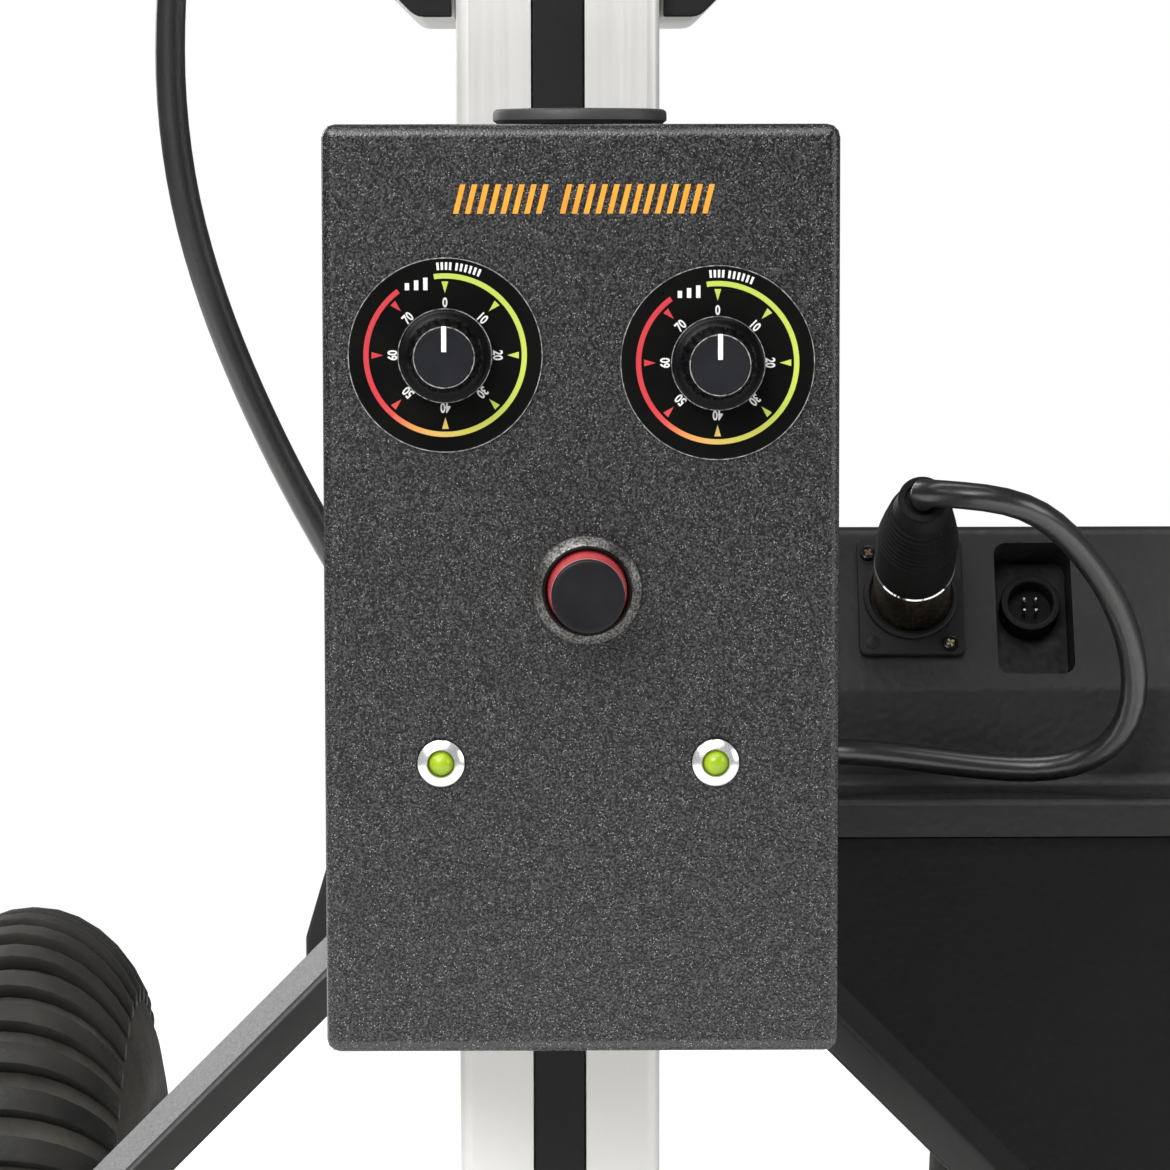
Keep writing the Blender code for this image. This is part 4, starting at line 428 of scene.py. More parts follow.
# A frame on the control box's front: X right, Y up, Z out towards the operator
def onPanel(x, z):
    turn = Matrix(((1, 0, 0), (0, 0, -1), (0, 1, 0))).to_4x4()
    return Matrix.Translation((x, panelFace, z)) @ turn


# A screw's cross drive
def crossDrive(bm, place, radius, height):
    for along in (radius * 0.62, radius * 0.16):
        across = radius * 0.78 - along
        slab(bm, (-along, -across, height * 0.7), (along, across, height * 1.03), place)


def hexHead(bm, place, radius, height):
    bmesh.ops.create_cone(bm, cap_ends=True, segments=6, radius1=radius, radius2=radius * 0.96,
                          depth=height, matrix=place @ Matrix.Translation((0, 0, height / 2)))


# Both cables follow the same routes as the part's own
motorRoute = [
    (-0.0325, -0.0054, 0.3720), (-0.0325, 0.0070, 0.3720), (-0.0345, 0.0185, 0.3755),
    (-0.0385, 0.0265, 0.3825), (-0.0437, 0.0300, 0.3905), (-0.0492, 0.0308, 0.4000),
    (-0.0559, 0.0308, 0.4123), (-0.0643, 0.0308, 0.4301), (-0.0717, 0.0308, 0.4490),
    (-0.0773, 0.0308, 0.4690), (-0.0796, 0.0308, 0.4857), (-0.0803, 0.0306, 0.4977),
    (-0.0797, 0.0300, 0.5120), (-0.0782, 0.0285, 0.5300), (-0.0752, 0.0262, 0.5520),
    (-0.0708, 0.0232, 0.5760), (-0.0662, 0.0195, 0.5980), (-0.0620, 0.0160, 0.6210),
    (-0.0620, 0.0160, 0.6334)]
batteryRoute = [
    (0.0925, 0.1362, 0.4008), (0.0990, 0.1347, 0.4012), (0.1060, 0.1355, 0.4002),
    (0.1115, 0.1380, 0.3982), (0.1162, 0.1420, 0.3953), (0.1245, 0.1500, 0.3870),
    (0.1330, 0.1560, 0.3760), (0.1385, 0.1600, 0.3620), (0.1400, 0.1635, 0.3490),
    (0.1370, 0.1680, 0.3395), (0.1300, 0.1730, 0.3335), (0.1197, 0.1765, 0.3310),
    (0.1000, 0.1765, 0.3325), (0.0840, 0.1760, 0.3350), (0.0690, 0.1740, 0.3365),
    (0.0570, 0.1650, 0.3375), (0.0490, 0.1450, 0.3390), (0.0445, 0.1200, 0.3425),
    (0.0420, 0.0920, 0.3480), (0.0408, 0.0640, 0.3565), (0.0405, 0.0400, 0.3650),
    (0.0405, 0.0220, 0.3708), (0.0405, 0.00435, 0.3720), (0.0405, -0.0054, 0.3720)]
lidPanel = {"foot": 0.1910, "height": 0.3495, "tilt": math.radians(27.0)}
socket = {"x": 0.0883, "rise": 0.0238, "lean": math.radians(1.7), "bootEnd": 0.0637}


# A frame on the battery case's slanted panel: X right, Y up the panel, Z out of it
def onLid(x, rise):
    tilt = lidPanel["tilt"]
    at = (x, lidPanel["foot"] + rise * math.sin(tilt) + postY, lidPanel["height"] + rise * math.cos(tilt))
    return facing(at, (0, -math.cos(tilt), math.sin(tilt)))


def plugFrame():
    return onLid(socket["x"], socket["rise"]) @ Matrix.Rotation(-socket["lean"], 4, "Y")


# A curve or text leaves only its mesh
def asMesh(holder):
    bpy.context.view_layer.update()
    shape = bpy.data.meshes.new_from_object(holder.evaluated_get(bpy.context.evaluated_depsgraph_get()))
    bpy.data.objects.remove(holder, do_unlink=True)
    return shape


# A smooth line through the points, straight in its first and last leg, evened a few times
def smoothLine(points, spacing, evenings=5):
    fine = []
    for a, b, c, d in zip(points, points[1:], points[2:], points[3:]):
        for step in range(24):
            t = step / 24
            fine.append(0.5 * (2 * b + (c - a) * t + (2 * a - 5 * b + 4 * c - d) * t * t
                               + (3 * b - a - 3 * c + d) * t ** 3))
    fine.append(points[-2])
    line, run = [points[0], points[1]], 0.0
    for a, b in zip(fine, fine[1:]):
        run += (b - a).length
        if run >= spacing:
            line.append(b)
            run = 0.0
    if (line[-1] - points[-2]).length < spacing / 2:
        line.pop()
    line += [points[-2], points[-1]]
    for _ in range(evenings):
        line[2:-2] = [b / 2 + (a + c) / 4 for a, b, c in zip(line[1:], line[2:-2], line[3:])]
    return line


# A cable with a bend is made a mesh that rides on no body; any other cable rides on its body
def makeCable(name, points, diameter, bend=None):
    line = smoothLine(points, diameter * 0.8)
    curve = bpy.data.curves.new(name + "_jacket", "CURVE")
    curve.dimensions = "3D"
    curve.bevel_depth = diameter / 2
    curve.bevel_resolution = 6
    curve.use_fill_caps = True
    spline = curve.splines.new("POLY")
    spline.points.add(len(line) - 1)
    for spot, point in zip(spline.points, line):
        spot.co = (*point, 1.0)
    spline.use_smooth = True
    piece = added(name + "_jacket", curve)
    curve.materials.append(materials["cableJacket"])
    if bend:
        piece = added(name + "_jacket", asMesh(piece))
        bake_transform(piece)
    else:
        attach(piece, bodyOf[name])
    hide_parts(name)


def makeCables():
    shifted = [Vector((x, y + postY, z)) for x, y, z in motorRoute]
    makeCable("motor_cable", shifted, 0.0062, (shifted[-7], shifted[-2]))
    end = socket["bootEnd"]
    start = [plugFrame() @ Vector((0, 0, end + 0.0003)), plugFrame() @ Vector((0, 0, end + 0.0039))]
    shifted = start + [Vector((x, y + postY, z)) for x, y, z in batteryRoute]
    makeCable("battery_cable", shifted, 0.0065)


makeCables()
print("cables laid")


# Plain parts keep the CAD form with softened edges
plainParts = {
    "post": ("satinAluminium", 0.0), "slot_strip": ("mattPlastic", 0.0003), "post_cap": ("moulded", 0.0),
    "box_shell": ("boxSkin", 0.0), "box_rear_cover": ("boxSkin", 0.0004),
    "box_bracket": ("brightSteel", 0.0004), "circuit_board": ("boardLacquer", 0.0002),
    "speed_control_left": ("brightSteel", 0.0002), "speed_control_right": ("brightSteel", 0.0002),
    "button_body": ("moulded", 0.0002), "leg_left": ("powderCoat", 0.0),
    "leg_right": ("powderCoat", 0.0), "foot_left": ("softRubber", 0.0),
    "foot_right": ("softRubber", 0.0), "base_block": ("powderCoat", 0.0008),
    "tie_bar": ("powderCoat", 0.0008), "front_beam": ("powderCoat", 0.0008),
    "axle": ("brightSteel", 0.0004), "case_arm": ("powderCoat", 0.0008),
    "case_body": ("caseGrainShaded", 0.0008), "case_lid": ("lidGrainLit", 0.0010),
    "battery": ("batteryCase", 0.0), "carriage": ("satinAluminium", 0.0005),
    "carriage_cover_left": ("mattPlastic", 0.0004), "carriage_cover_right": ("mattPlastic", 0.0004),
    "tilt_pin": ("brightSteel", 0.0), "clamp_knob": ("moulded", 0.0012),
    "head_deck": ("millAluminium", 0.0006), "feed_trough": ("moulded", 0.0008),
    "wheel_guard_left": ("powderCoat", 0.0006), "wheel_guard_right": ("powderCoat", 0.0006)}
for node, (material, width) in plainParts.items():
    dressed(node, material, width)
# the hub plate's lower corners are clipped at a slant, so the box and the legs hide them
plateCorner = (0.0527, 0.3067)
dressed("hub_plate", "powderCoat", 0.0008,
        trims=[((side * plateCorner[0], 0, plateCorner[1]), (side, 0, -1)) for side in (-1, 1)])
print("plain parts dressed:", len(plainParts))


# Printed marks lie on the dial films, 0.03 mm proud
dial = {
    "radius": 0.018, "film": 0.0008, "arc": (0.01415, 0.01512), "arcStart": -8, "arcEnd": 324,
    "numberRadius": 0.00965, "numberSize": 0.00245, "narrow": 0.76, "ink": 0.00003, "bore": 0.0039,
    "triangle": (0.00072, 0.00143), "triangleRadius": 0.0129, "tick": (0.01575, 0.01715),
    "tickHalf": 0.75, "ticks": (-4.6, -1.9, 0.8, 3.5, 7.6, 10.6, 13.6, 16.6, 19.6, 22.6),
    "barFoot": 0.0120, "barHalf": 0.0004,
    "bars": ((-0.0070, 0.0013), (-0.0053, 0.0018), (-0.0036, 0.0023)),
    "places": {"left": (-0.0212, 0.44125), "right": (0.0292, 0.43975)}}


# A flat strip bent round the dial from one bearing to another, clockwise from the top
def arcStrip(bm, place, inner, outer, start, end, low, high, steps=96):
    turn = Matrix.Rotation(math.radians(-start), 4, "Z")
    verts = [bm.verts.new(turn @ Vector((0, radius, height)))
             for radius, height in ((inner, low), (outer, low), (outer, high), (inner, high))]
    edges = [bm.edges.new((verts[i], verts[(i + 1) % 4])) for i in range(4)]
    face = bm.faces.new(verts)
    bmesh.ops.spin(bm, geom=verts + edges + [face], cent=(0, 0, 0), axis=(0, 0, -1),
                   angle=math.radians(end - start), steps=steps, use_duplicate=False)
    ring = islands(verts)
    bmesh.ops.transform(bm, matrix=place, verts=ring)


def lettering(bm, text, size, place, narrow, depth):
    font = bpy.data.curves.new("words", "FONT")
    font.body = text
    font.size = size
    font.align_x = "CENTER"
    font.align_y = "CENTER"
    font.extrude = depth / 2
    font.offset = size * 0.028
    font.resolution_u = 4
    shape = asMesh(added("words", font))
    shape.transform(place @ Matrix.Diagonal((narrow, 1, 1, 1)))
    bm.from_mesh(shape)
    bpy.data.meshes.remove(shape)


def makeDials():
    for side, (x, z) in dial["places"].items():
        place = onPanel(x, z)
        face, ink = dial["film"], dial["ink"]
        outer, bore = dial["radius"], dial["bore"]
        turnedPiece("dial_film_" + side, "dialFilm", "base", place, 96, [
            (bore, 0.0003), (outer, 0.0003), (outer, face - 0.0001), (outer - 0.0001, face),
            (bore, face)], ("dial_plate_" + side,))

        bm = bmesh.new()
        arcStrip(bm, place, *dial["arc"], dial["arcStart"], dial["arcEnd"], face, face + ink)
        for step in range(8):
            spoke = place @ Matrix.Rotation(math.radians(-45 * step), 4, "Z")
            middle = spoke @ Matrix.Translation((0, dial["triangleRadius"], face + ink / 2))
            bmesh.ops.create_cone(bm, cap_ends=True, segments=3, radius1=1, radius2=1, depth=1,
                                  matrix=middle @ Matrix.Diagonal((*dial["triangle"], ink, 1))
                                  @ Matrix.Rotation(math.radians(180), 4, "Z"))
        makeScaleInk("scaleInk_" + side, (x, panelFace, z))
        finished("dial_scale_" + side, bm, "scaleInk_" + side, "base", flat=True)

        bm = bmesh.new()
        for step in range(8):
            spoke = place @ Matrix.Rotation(math.radians(-45 * step), 4, "Z")
            at = spoke @ Matrix.Translation((0, dial["numberRadius"], face + ink / 2))
            lettering(bm, str(step * 10), dial["numberSize"], at, dial["narrow"], ink)
        # plain ticks over the arc and a rising row of bars beside it, where the dial's words would be
        half, foot, wide = dial["tickHalf"], dial["barFoot"], dial["barHalf"]
        for bearing in dial["ticks"]:
            arcStrip(bm, place, *dial["tick"], bearing - half, bearing + half, face, face + ink, 3)
        for across, tall in dial["bars"]:
            slab(bm, (across - wide, foot, face), (across + wide, foot + tall, face + ink), place)
        linked("dial_numbers_" + side, bm, "whiteInk", "base", flat=True)

        # a thin pale ring round the film's edge: a painted highlight
        bm = bmesh.new()
        thinRing(bm, place, outer - 0.00015, outer + 0.00002, face - 0.00005, face + 0.00001)
        finished("dial_edge_highlight_" + side, bm, "edgeHighlightPaint", "base", flat=True)


makeDials()


# A row of slanted bars stands in the title's place
titleBars = {"middle": (0.0045, 0.4700), "width": 0.0482, "height": 0.0054, "count": 22, "bar": 0.0010,
             "gap": 8, "slant": math.radians(14)}


def makeTitleBars():
    place = onPanel(*titleBars["middle"])
    slant = Matrix.Identity(4)
    slant[0][1] = math.tan(titleBars["slant"])
    bm = bmesh.new()
    half, pitch = titleBars["height"] / 2, titleBars["width"] / titleBars["count"]
    for step in range(titleBars["count"]):
        if step == titleBars["gap"]:
            continue
        middle = pitch * (step + 0.5) - titleBars["width"] / 2
        wide = titleBars["bar"] / 2
        slab(bm, (middle - wide, -half, 0.0), (middle + wide, half, 0.00006), place @ slant)
    finished("title_bars", bm, "orangeInk", "base", flat=True)


makeTitleBars()
print("dials printed")


# Fluted speed knobs, each with its white pointer
knob = {
    "skirt": 0.0087, "base": 0.0014, "skirtTop": 0.0044, "foot": 0.0067, "top": 0.0057, "height": 0.0135,
    "flutes": 18, "depth": 0.00045, "pointer": (0.00046, 0.0010, 0.0057)}


def makeKnobs():
    for side, (x, z) in dial["places"].items():
        place = onPanel(x, z)
        base, lift, top, height = knob["base"], knob["skirtTop"], knob["top"], knob["height"]
        profile = [(0.0033, base), (knob["skirt"], base), (knob["skirt"], lift - 0.0006),
                   (knob["skirt"] - 0.0003, lift - 0.0002), (knob["skirt"] - 0.0008, lift),
                   (knob["foot"] + 0.0006, lift), (knob["foot"] + 0.0001, lift + 0.0003)]
        for step in range(9):
            share = step / 8
            profile.append((knob["foot"] + (top - knob["foot"]) * share,
                            lift + 0.0008 + (height - lift - 0.0014) * share))
        profile += [(top - 0.0002, height - 0.0003), (top - 0.0005, height - 0.00045),
                    (0.0, height - 0.00045)]
        profile = [(0.0, 0.0098), (0.0033, 0.0098)] + profile
        bm = bmesh.new()
        for vert in turned(bm, profile, Matrix(), 144):
            reach = math.hypot(vert.co.x, vert.co.y)
            inBody = lift + 0.0006 < vert.co.z < height - 0.0003 and reach > 0.0050
            if inBody:
                wave = 0.5 + 0.5 * math.cos(knob["flutes"] * math.atan2(vert.co.y, vert.co.x))
                shrink = 1 - knob["depth"] * wave ** 2 / reach
                vert.co.x *= shrink
                vert.co.y *= shrink
        bmesh.ops.transform(bm, matrix=place, verts=bm.verts)
        finished("knob_grip_" + side, bm, "knobPlastic", "dial_" + side, ("knob_" + side,))
        disc = top - 0.0004
        turnedPiece("knob_disc_" + side, "knobDisc", "dial_" + side, place, 72, [
            (0.0, height - 0.0006), (disc, height - 0.0006), (disc, height - 0.0001),
            (disc - 0.0001, height), (0.0, height)])
        # thin pale rings on the skirt's edge and round the top: painted highlights
        bm = bmesh.new()
        thinRing(bm, place, knob["skirt"] - 0.00022, knob["skirt"] + 0.00002, lift - 0.0007, lift - 0.00042)
        thinRing(bm, place, top - 0.00026, top - 0.00006, height - 0.0005, height - 0.00024)
        finished("knob_highlight_rings_" + side, bm, "edgeHighlightPaint", "dial_" + side)
        bm = bmesh.new()
        wide, start, end = knob["pointer"]
        slab(bm, (-wide, start, height - 0.0001), (wide, end, height + 0.00008), place, 0.00006)
        finished("knob_pointer_" + side, bm, "whiteInk", "dial_" + side)


makeKnobs()


# The push button: cast bezel, gloss lip, red plunger under a black cap
button = {"place": (0.0050, 0.39755), "bezel": 0.01025, "lip": 0.0080, "red": 0.0074, "cap": 0.00678,
          "height": 0.0026, "neck": 0.0124, "reach": 0.0145}


def makeButton():
    place = onPanel(*button["place"])
    outer, lip, height = button["bezel"], button["lip"], button["height"]
    turnedPiece("button_ring", "castBezel", "base", place, 96, [
        (lip + 0.0003, 0.0003), (outer - 0.0001, 0.0003), (outer, 0.0005), (outer - 0.00005, 0.0011),
        (outer - 0.0002, 0.0013), (lip + 0.0006, height - 0.0004), (lip + 0.0004, height - 0.0003),
        (lip + 0.0003, height - 0.0004)], ("button_bezel",))
    turnedPiece("button_lip", "lipPlastic", "base", place, 96, [
        (lip - 0.0004, 0.0004), (lip + 0.0002, 0.0004), (lip + 0.0003, height - 0.0003),
        (lip + 0.0001, height), (lip - 0.0001, height), (lip - 0.0004, height - 0.0005)])
    red, cap, neck, reach = button["red"], button["cap"], button["neck"], button["reach"]
    turnedPiece("button_red", "redLens", "button", place, 96, [
        (0.0, -0.008), (red, -0.008), (red, height - 0.0006), (red - 0.0001, height + 0.0004),
        (cap - 0.00002, neck - 0.0004), (cap - 0.0001, neck), (0.0, neck)], ("button_plunger",))
    # a pale pink ring at the plunger's neck: a painted highlight along the cap's edge
    turnedPiece("button_rim_highlight", "rimHighlightPaint", "button", place, 96, [
        (cap - 0.0003, neck - 0.00025), (cap + 0.00002, neck - 0.0002), (cap + 0.00005, neck - 0.0001),
        (cap + 0.00002, neck), (cap - 0.0003, neck + 0.00005)])
    turnedPiece("button_cap", "capPlastic", "button", place, 96, [
        (0.0, neck), (cap, neck), (cap, reach - 0.0004), (cap - 0.00006, reach - 0.0002),
        (cap - 0.0002, reach - 0.00006), (cap - 0.0004, reach), (cap - 0.0012, reach),
        (0.0, reach - 0.0002)])


makeButton()


# The two lamps: a turned silver bezel round a green dome
lamp = {"places": {"left": (-0.0223, 0.36525), "right": (0.0289, 0.36525)}, "rim": 0.00437, "bore": 0.00250,
        "height": 0.0020, "lens": 0.0024, "reach": 0.0026}


def makeLamps():
    for side, (x, z) in lamp["places"].items():
        place = onPanel(x, z)
        rim, bore, height = lamp["rim"], lamp["bore"], lamp["height"]
        turnedPiece("lamp_bezel_" + side, "turnedSilver", "base", place, 72, [
            (bore, -0.008), (0.0033, -0.008), (0.0033, 0.0003), (rim - 0.0001, 0.0003), (rim, 0.0004),
            (rim, 0.0009), (rim - 0.0002, 0.0011), (bore + 0.0003, height), (bore + 0.0001, height),
            (bore, height - 0.0003)], ("led_bezel_" + side,))
        turnedPiece("lamp_gasket_" + side, "lipPlastic", "base", place, 72, [
            (rim - 0.0004, 0.0001), (rim + 0.00022, 0.0001), (rim + 0.00022, 0.0004),
            (rim - 0.0004, 0.00045)])
        lens, reach = lamp["lens"], lamp["reach"]
        dome = [(0.0, -0.0102), (lens, -0.0102)]
        for step in range(9):
            turn = math.pi / 2 * step / 8
            dome.append((lens * math.cos(turn) if step < 8 else 0.0, reach - lens + lens * math.sin(turn)))
        turnedPiece("lamp_lens_" + side, "limeLens", "base", place, 48, dome, ("led_lens_" + side,))


makeLamps()


# The round cap on top of the control box
topCapPlace = (0.004, postY - 0.049, 0.4838)


def makeTopCap():
    turnedPiece("top_cap_disc", "topPlastic", "base", Matrix.Translation(topCapPlace), 96, [
        (0.0, -0.005), (0.006, -0.005), (0.006, 0.0003), (0.0157, 0.0003), (0.0160, 0.0006),
        (0.0165, 0.0010), (0.0165, 0.0023), (0.0163, 0.0028), (0.0158, 0.0031), (0.0120, 0.0031),
        (0.0118, 0.0029), (0.0, 0.0029)], ("box_top_cap",))


makeTopCap()
print("panel pieces made")


# Cable glands: hexagon, ribbed dome nut and thread; each has its place, its direction and its wall
gland = {"thread": 0.006, "wide": 0.008, "nut": 0.0060, "lockNut": 0.0040, "ribs": 6,
         "places": {"box_gland_left": ((-0.0325, postY - 0.0237, 0.372), (0, 1, 0), 0.004),
                    "box_gland_right": ((0.0405, postY - 0.0237, 0.372), (0, 1, 0), 0.004),
                    "deck_gland": ((-0.062, postY + 0.016, 0.6517), (0, 0, -1), 0.006)}}


def makeGland(node, place, wall):
    bm = bmesh.new()
    thread, wide = gland["thread"], gland["wide"]
    hexHead(bm, place, wide, gland["nut"])
    hexHead(bm, place @ Matrix.Translation((0, 0, -wall - 0.0046)), wide, gland["lockNut"])
    profile = [(0.0, -wall - 0.005), (thread, -wall - 0.005), (thread, 0.0058), (thread + 0.0009, 0.0062)]
    for step in range(gland["ribs"]):
        profile += [(thread + 0.0009, 0.0068 + step * 0.0012), (thread + 0.0004, 0.0074 + step * 0.0012)]
    profile += [(thread * 0.92, 0.0160), (thread * 0.74, 0.0179), (0.0, 0.0179)]
    turned(bm, profile, place, 40)
    finished(node + "_dome", bm, "moulded", bodyOf[node], (node,))


for node, (at, direction, wall) in gland["places"].items():
    makeGland(node, facing(at, direction), wall)


# The power socket on the slanted panel, with its plug, its boot and the charge socket
plug = {
    "flange": (0.0130, 0.0155, 0.0026), "screws": ((-0.0103, 0.0113), (0.0093, -0.0128)),
    "shell": 0.0118, "bore": 0.0101, "barrel": 0.0095, "reach": 0.0238, "boot": 0.0396, "foot": 0.0098,
    "tip": 0.00525, "ribs": 9, "charge": (0.1191, 0.0257), "pin": 0.00147}


def makeSocket():
    place = onLid(socket["x"], socket["rise"])
    wide, tall, thick = plug["flange"]
    bm = bmesh.new()
    slab(bm, (-wide, -tall, 0.0003), (wide, tall, thick), place)
    upright = [edge for edge in bm.edges
               if abs((edge.verts[1].co - edge.verts[0].co).length - (thick - 0.0003)) < 1e-5]
    bmesh.ops.bevel(bm, geom=upright, offset=0.0016, segments=4, profile=0.5, affect="EDGES", material=-1)
    softened(bm, 0.0005, 3)
    finished("socket_flange", bm, "mattPlastic", "base", ("power_socket",))
    shell, bore = plug["shell"], plug["bore"]
    turnedPiece("socket_shell", "mattPlastic", "base", place, 72, [
        (bore, -0.0140), (shell, -0.0140), (shell, thick + 0.0002), (shell - 0.0002, thick + 0.0010),
        (shell - 0.0006, thick + 0.0013), (bore + 0.0004, thick + 0.0013), (bore, thick + 0.0008)])
    heads, drives = bmesh.new(), bmesh.new()
    for across, up in plug["screws"]:
        turn = place @ Matrix.Translation((across, up, thick)) @ Matrix.Rotation(60 * across, 4, "Z")
        turned(heads, [(0.0, 0.0008), (0.0011, 0.0008), (0.0014, 0.0012), (0.0018, 0.0011),
                       (0.0020, 0.0006), (0.0021, -0.0003), (0.0, -0.0003)], turn, 32)
        crossDrive(drives, turn, 0.0017, 0.0009)
    finished("socket_screws", heads, "lipPlastic", "base")
    finished("socket_screw_drives", drives, "agedBrass", "base", flat=True)
    at = place @ Matrix.Translation((-0.0098, -0.0124, thick))
    turnedPiece("socket_boss", "mattPlastic", "base", at, 32, [
        (0.0, -0.0004), (0.0017, -0.0004), (0.0017, 0.0002), (0.0013, 0.0005), (0.0, 0.0006)])


def makePlug():
    place = plugFrame()
    barrel, reach = plug["barrel"], plug["reach"]
    turnedPiece("plug_barrel", "agedBrass", "base", place, 72, [
        (0.0, -0.0139), (barrel, -0.0139), (barrel, reach - 0.0011), (barrel - 0.0003, reach - 0.0009),
        (barrel - 0.0003, reach), (0.0, reach)], ("power_plug",))
    turnedPiece("plug_ring", "chrome", "base", place, 72, [
        (barrel - 0.0005, reach - 0.0010), (barrel + 0.0002, reach - 0.0010),
        (barrel + 0.0004, reach - 0.0007), (barrel + 0.0004, reach - 0.0003), (barrel + 0.0001, reach),
        (barrel - 0.0005, reach)])

    # the boot keeps its width, then narrows, with shallow ribs on the way and a lip round the cable
    start, long, foot, tip = reach + 0.0003, plug["boot"], plug["foot"], plug["tip"]
    shape = [(0.02, foot), (0.40, foot), (0.53, foot * 0.93), (0.73, foot * 0.80), (0.88, tip * 1.20),
             (0.97, tip)]

    def radiusAt(share):
        for (low, wide), (high, slim) in zip(shape, shape[1:]):
            if share <= high:
                return wide + (slim - wide) * max(0.0, share - low) / (high - low)
        return tip

    profile = [(0.0, start), (foot - 0.0008, start), (foot, start + 0.0008), (foot, start + long * 0.30)]
    for step in range(plug["ribs"]):
        share = 0.40 + 0.42 * step / plug["ribs"]
        low, radius = start + long * share, radiusAt(share)
        profile += [(radius, low), (radius - 0.0001, low + 0.0011), (radius - 0.0006, low + 0.0013),
                    (radius - 0.0006, low + 0.0016)]
    profile += [(tip * wide, start + long * share) for wide, share in (
        (1.20, 0.88), (1.02, 0.955), (1.10, 0.965), (1.10, 0.995), (0.98, 1), (0.80, 1), (0.80, 0.97),
        (0.0, 0.97))]
    turnedPiece("boot_ribbed", "softRubber", "base", place, 72, profile, ("plug_boot",))


def makeChargeSocket():
    place = onLid(*plug["charge"])
    base = -0.0137
    turnedPiece("charge_ring", "softRubber", "base", place, 72, [
        (0.0, base), (0.0075, base), (0.0075, base + 0.0064), (0.0073, base + 0.0069),
        (0.0069, base + 0.0070), (0.0059, base + 0.0070), (0.0056, base + 0.0066),
        (0.0056, base + 0.0012), (0.0, base + 0.0012)], ("charge_socket",))
    bm = bmesh.new()
    pinShape = [(0.0, 0.0), (0.0006, 0.0), (0.0006, 0.0043), (0.0003, 0.0047), (0.0, 0.0047)]
    for across in (-plug["pin"], plug["pin"]):
        for up in (-plug["pin"], plug["pin"]):
            at = place @ Matrix.Translation((across, up, base + 0.0010))
            turned(bm, pinShape, at, 20)
    finished("charge_pins", bm, "brightSteel", "base")


makeSocket()
makePlug()
makeChargeSocket()
print("connectors made")


# Transport wheels: a dusty tyre with black lugs on a dished rim
tyre = {"spread": 0.1626, "axle": (0.275, 0.125), "outer": 0.120, "widest": 0.070, "half": 0.039,
        "lug": 0.005, "steps": 96}


def makeTyre(side, word):
    place = facing((side * tyre["spread"], *tyre["axle"]), (1, 0, 0))
    outer, widest, half = tyre["outer"], tyre["widest"], tyre["half"]
    profile = [(0.0523, 0.026), (0.0560, 0.0275), (0.0590, 0.0295), (0.0620, 0.0335),
               (widest - 0.003, 0.0377)]
    for step in range(9):
        turn = math.pi / 2 * step / 9
        profile.append((widest + (outer - widest) * math.sin(turn), half * math.cos(turn)))
    profile.append((outer, 0.0))
    profile += [(radius, -along) for radius, along in reversed(profile[:-1])]
    bm = bmesh.new()
    turned(bm, profile, Matrix(), tyre["steps"])
    finished("tyre_casing_" + word, copied(bm, place), "dustyTyre", "wheel_" + word, ("tyre_" + word,))
    bmesh.ops.recalc_face_normals(bm, faces=bm.faces)
    chosen = []
    for face in bm.faces:
        middle = face.calc_center_median()
        count = int((math.atan2(middle.y, middle.x) % math.tau) / math.tau * tyre["steps"])
        onCrown = math.hypot(middle.x, middle.y) > widest * 1.34
        if onCrown and count % 2 == 0 and abs(middle.z) > 0.002:
            chosen.append(face)
    spare = [face for face in bm.faces if face not in set(chosen)]
    bmesh.ops.delete(bm, geom=spare, context="FACES")
    made = bmesh.ops.extrude_face_region(bm, geom=bm.faces[:], use_keep_orig=True)
    for vert in made["geom"]:
        if isinstance(vert, bmesh.types.BMVert):
            grown = 1 + tyre["lug"] / math.hypot(vert.co.x, vert.co.y)
            vert.co.x *= grown
            vert.co.y *= grown
    bmesh.ops.recalc_face_normals(bm, faces=bm.faces)
    softened(bm, 0.0008, 2, 40)
    bmesh.ops.transform(bm, matrix=place, verts=bm.verts)
    finished("tyre_lugs_" + word, bm, "wornLug", "wheel_" + word)


# A copy of a mesh moved to its place
def copied(bm, place):
    twin = bm.copy()
    bmesh.ops.transform(twin, matrix=place, verts=twin.verts)
    return twin


def makeRim(side, word):
    place = facing((side * tyre["spread"], *tyre["axle"]), (1, 0, 0))
    profile = [(0.0083, 0.031), (0.0190, 0.031), (0.0190, 0.0100), (0.0230, 0.0045), (0.0400, 0.0030),
               (0.0460, 0.0060), (0.0488, 0.0200), (0.0492, 0.0290), (0.0520, 0.0290)]
    profile += [(radius, -along) for radius, along in reversed(profile)]
    turnedPiece("rim_dish_" + word, "powderCoat", "wheel_" + word, place, 72, profile, ("rim_" + word,))
    bm = bmesh.new()
    for step in range(5):
        for way in (-1, 1):
            spin = Matrix.Rotation(math.tau * step / 5, 4, "Z")
            seat = Matrix.Translation((0.0310, 0, way * 0.0034))
            flip = Matrix.Rotation(0 if way == 1 else math.pi, 4, "X")
            hexHead(bm, place @ (spin @ seat) @ flip, 0.0052, 0.0038)
    softened(bm, 0.0004, 2, 40)
    finished("rim_bolts_" + word, bm, "brightSteel", "wheel_" + word)


for side, word in ((-1, "left"), (1, "right")):
    makeTyre(side, word)
    makeRim(side, word)
print("transport wheels made")


# Launch head: motors under the deck, urethane wheels above it
head = {"spread": 0.130, "y": postY + 0.030, "middle": 0.695, "radius": 0.100, "half": 0.025,
        "web": 0.019, "bossDrop": 0.0044, "boltRing": 0.045, "motorTop": 0.6517}


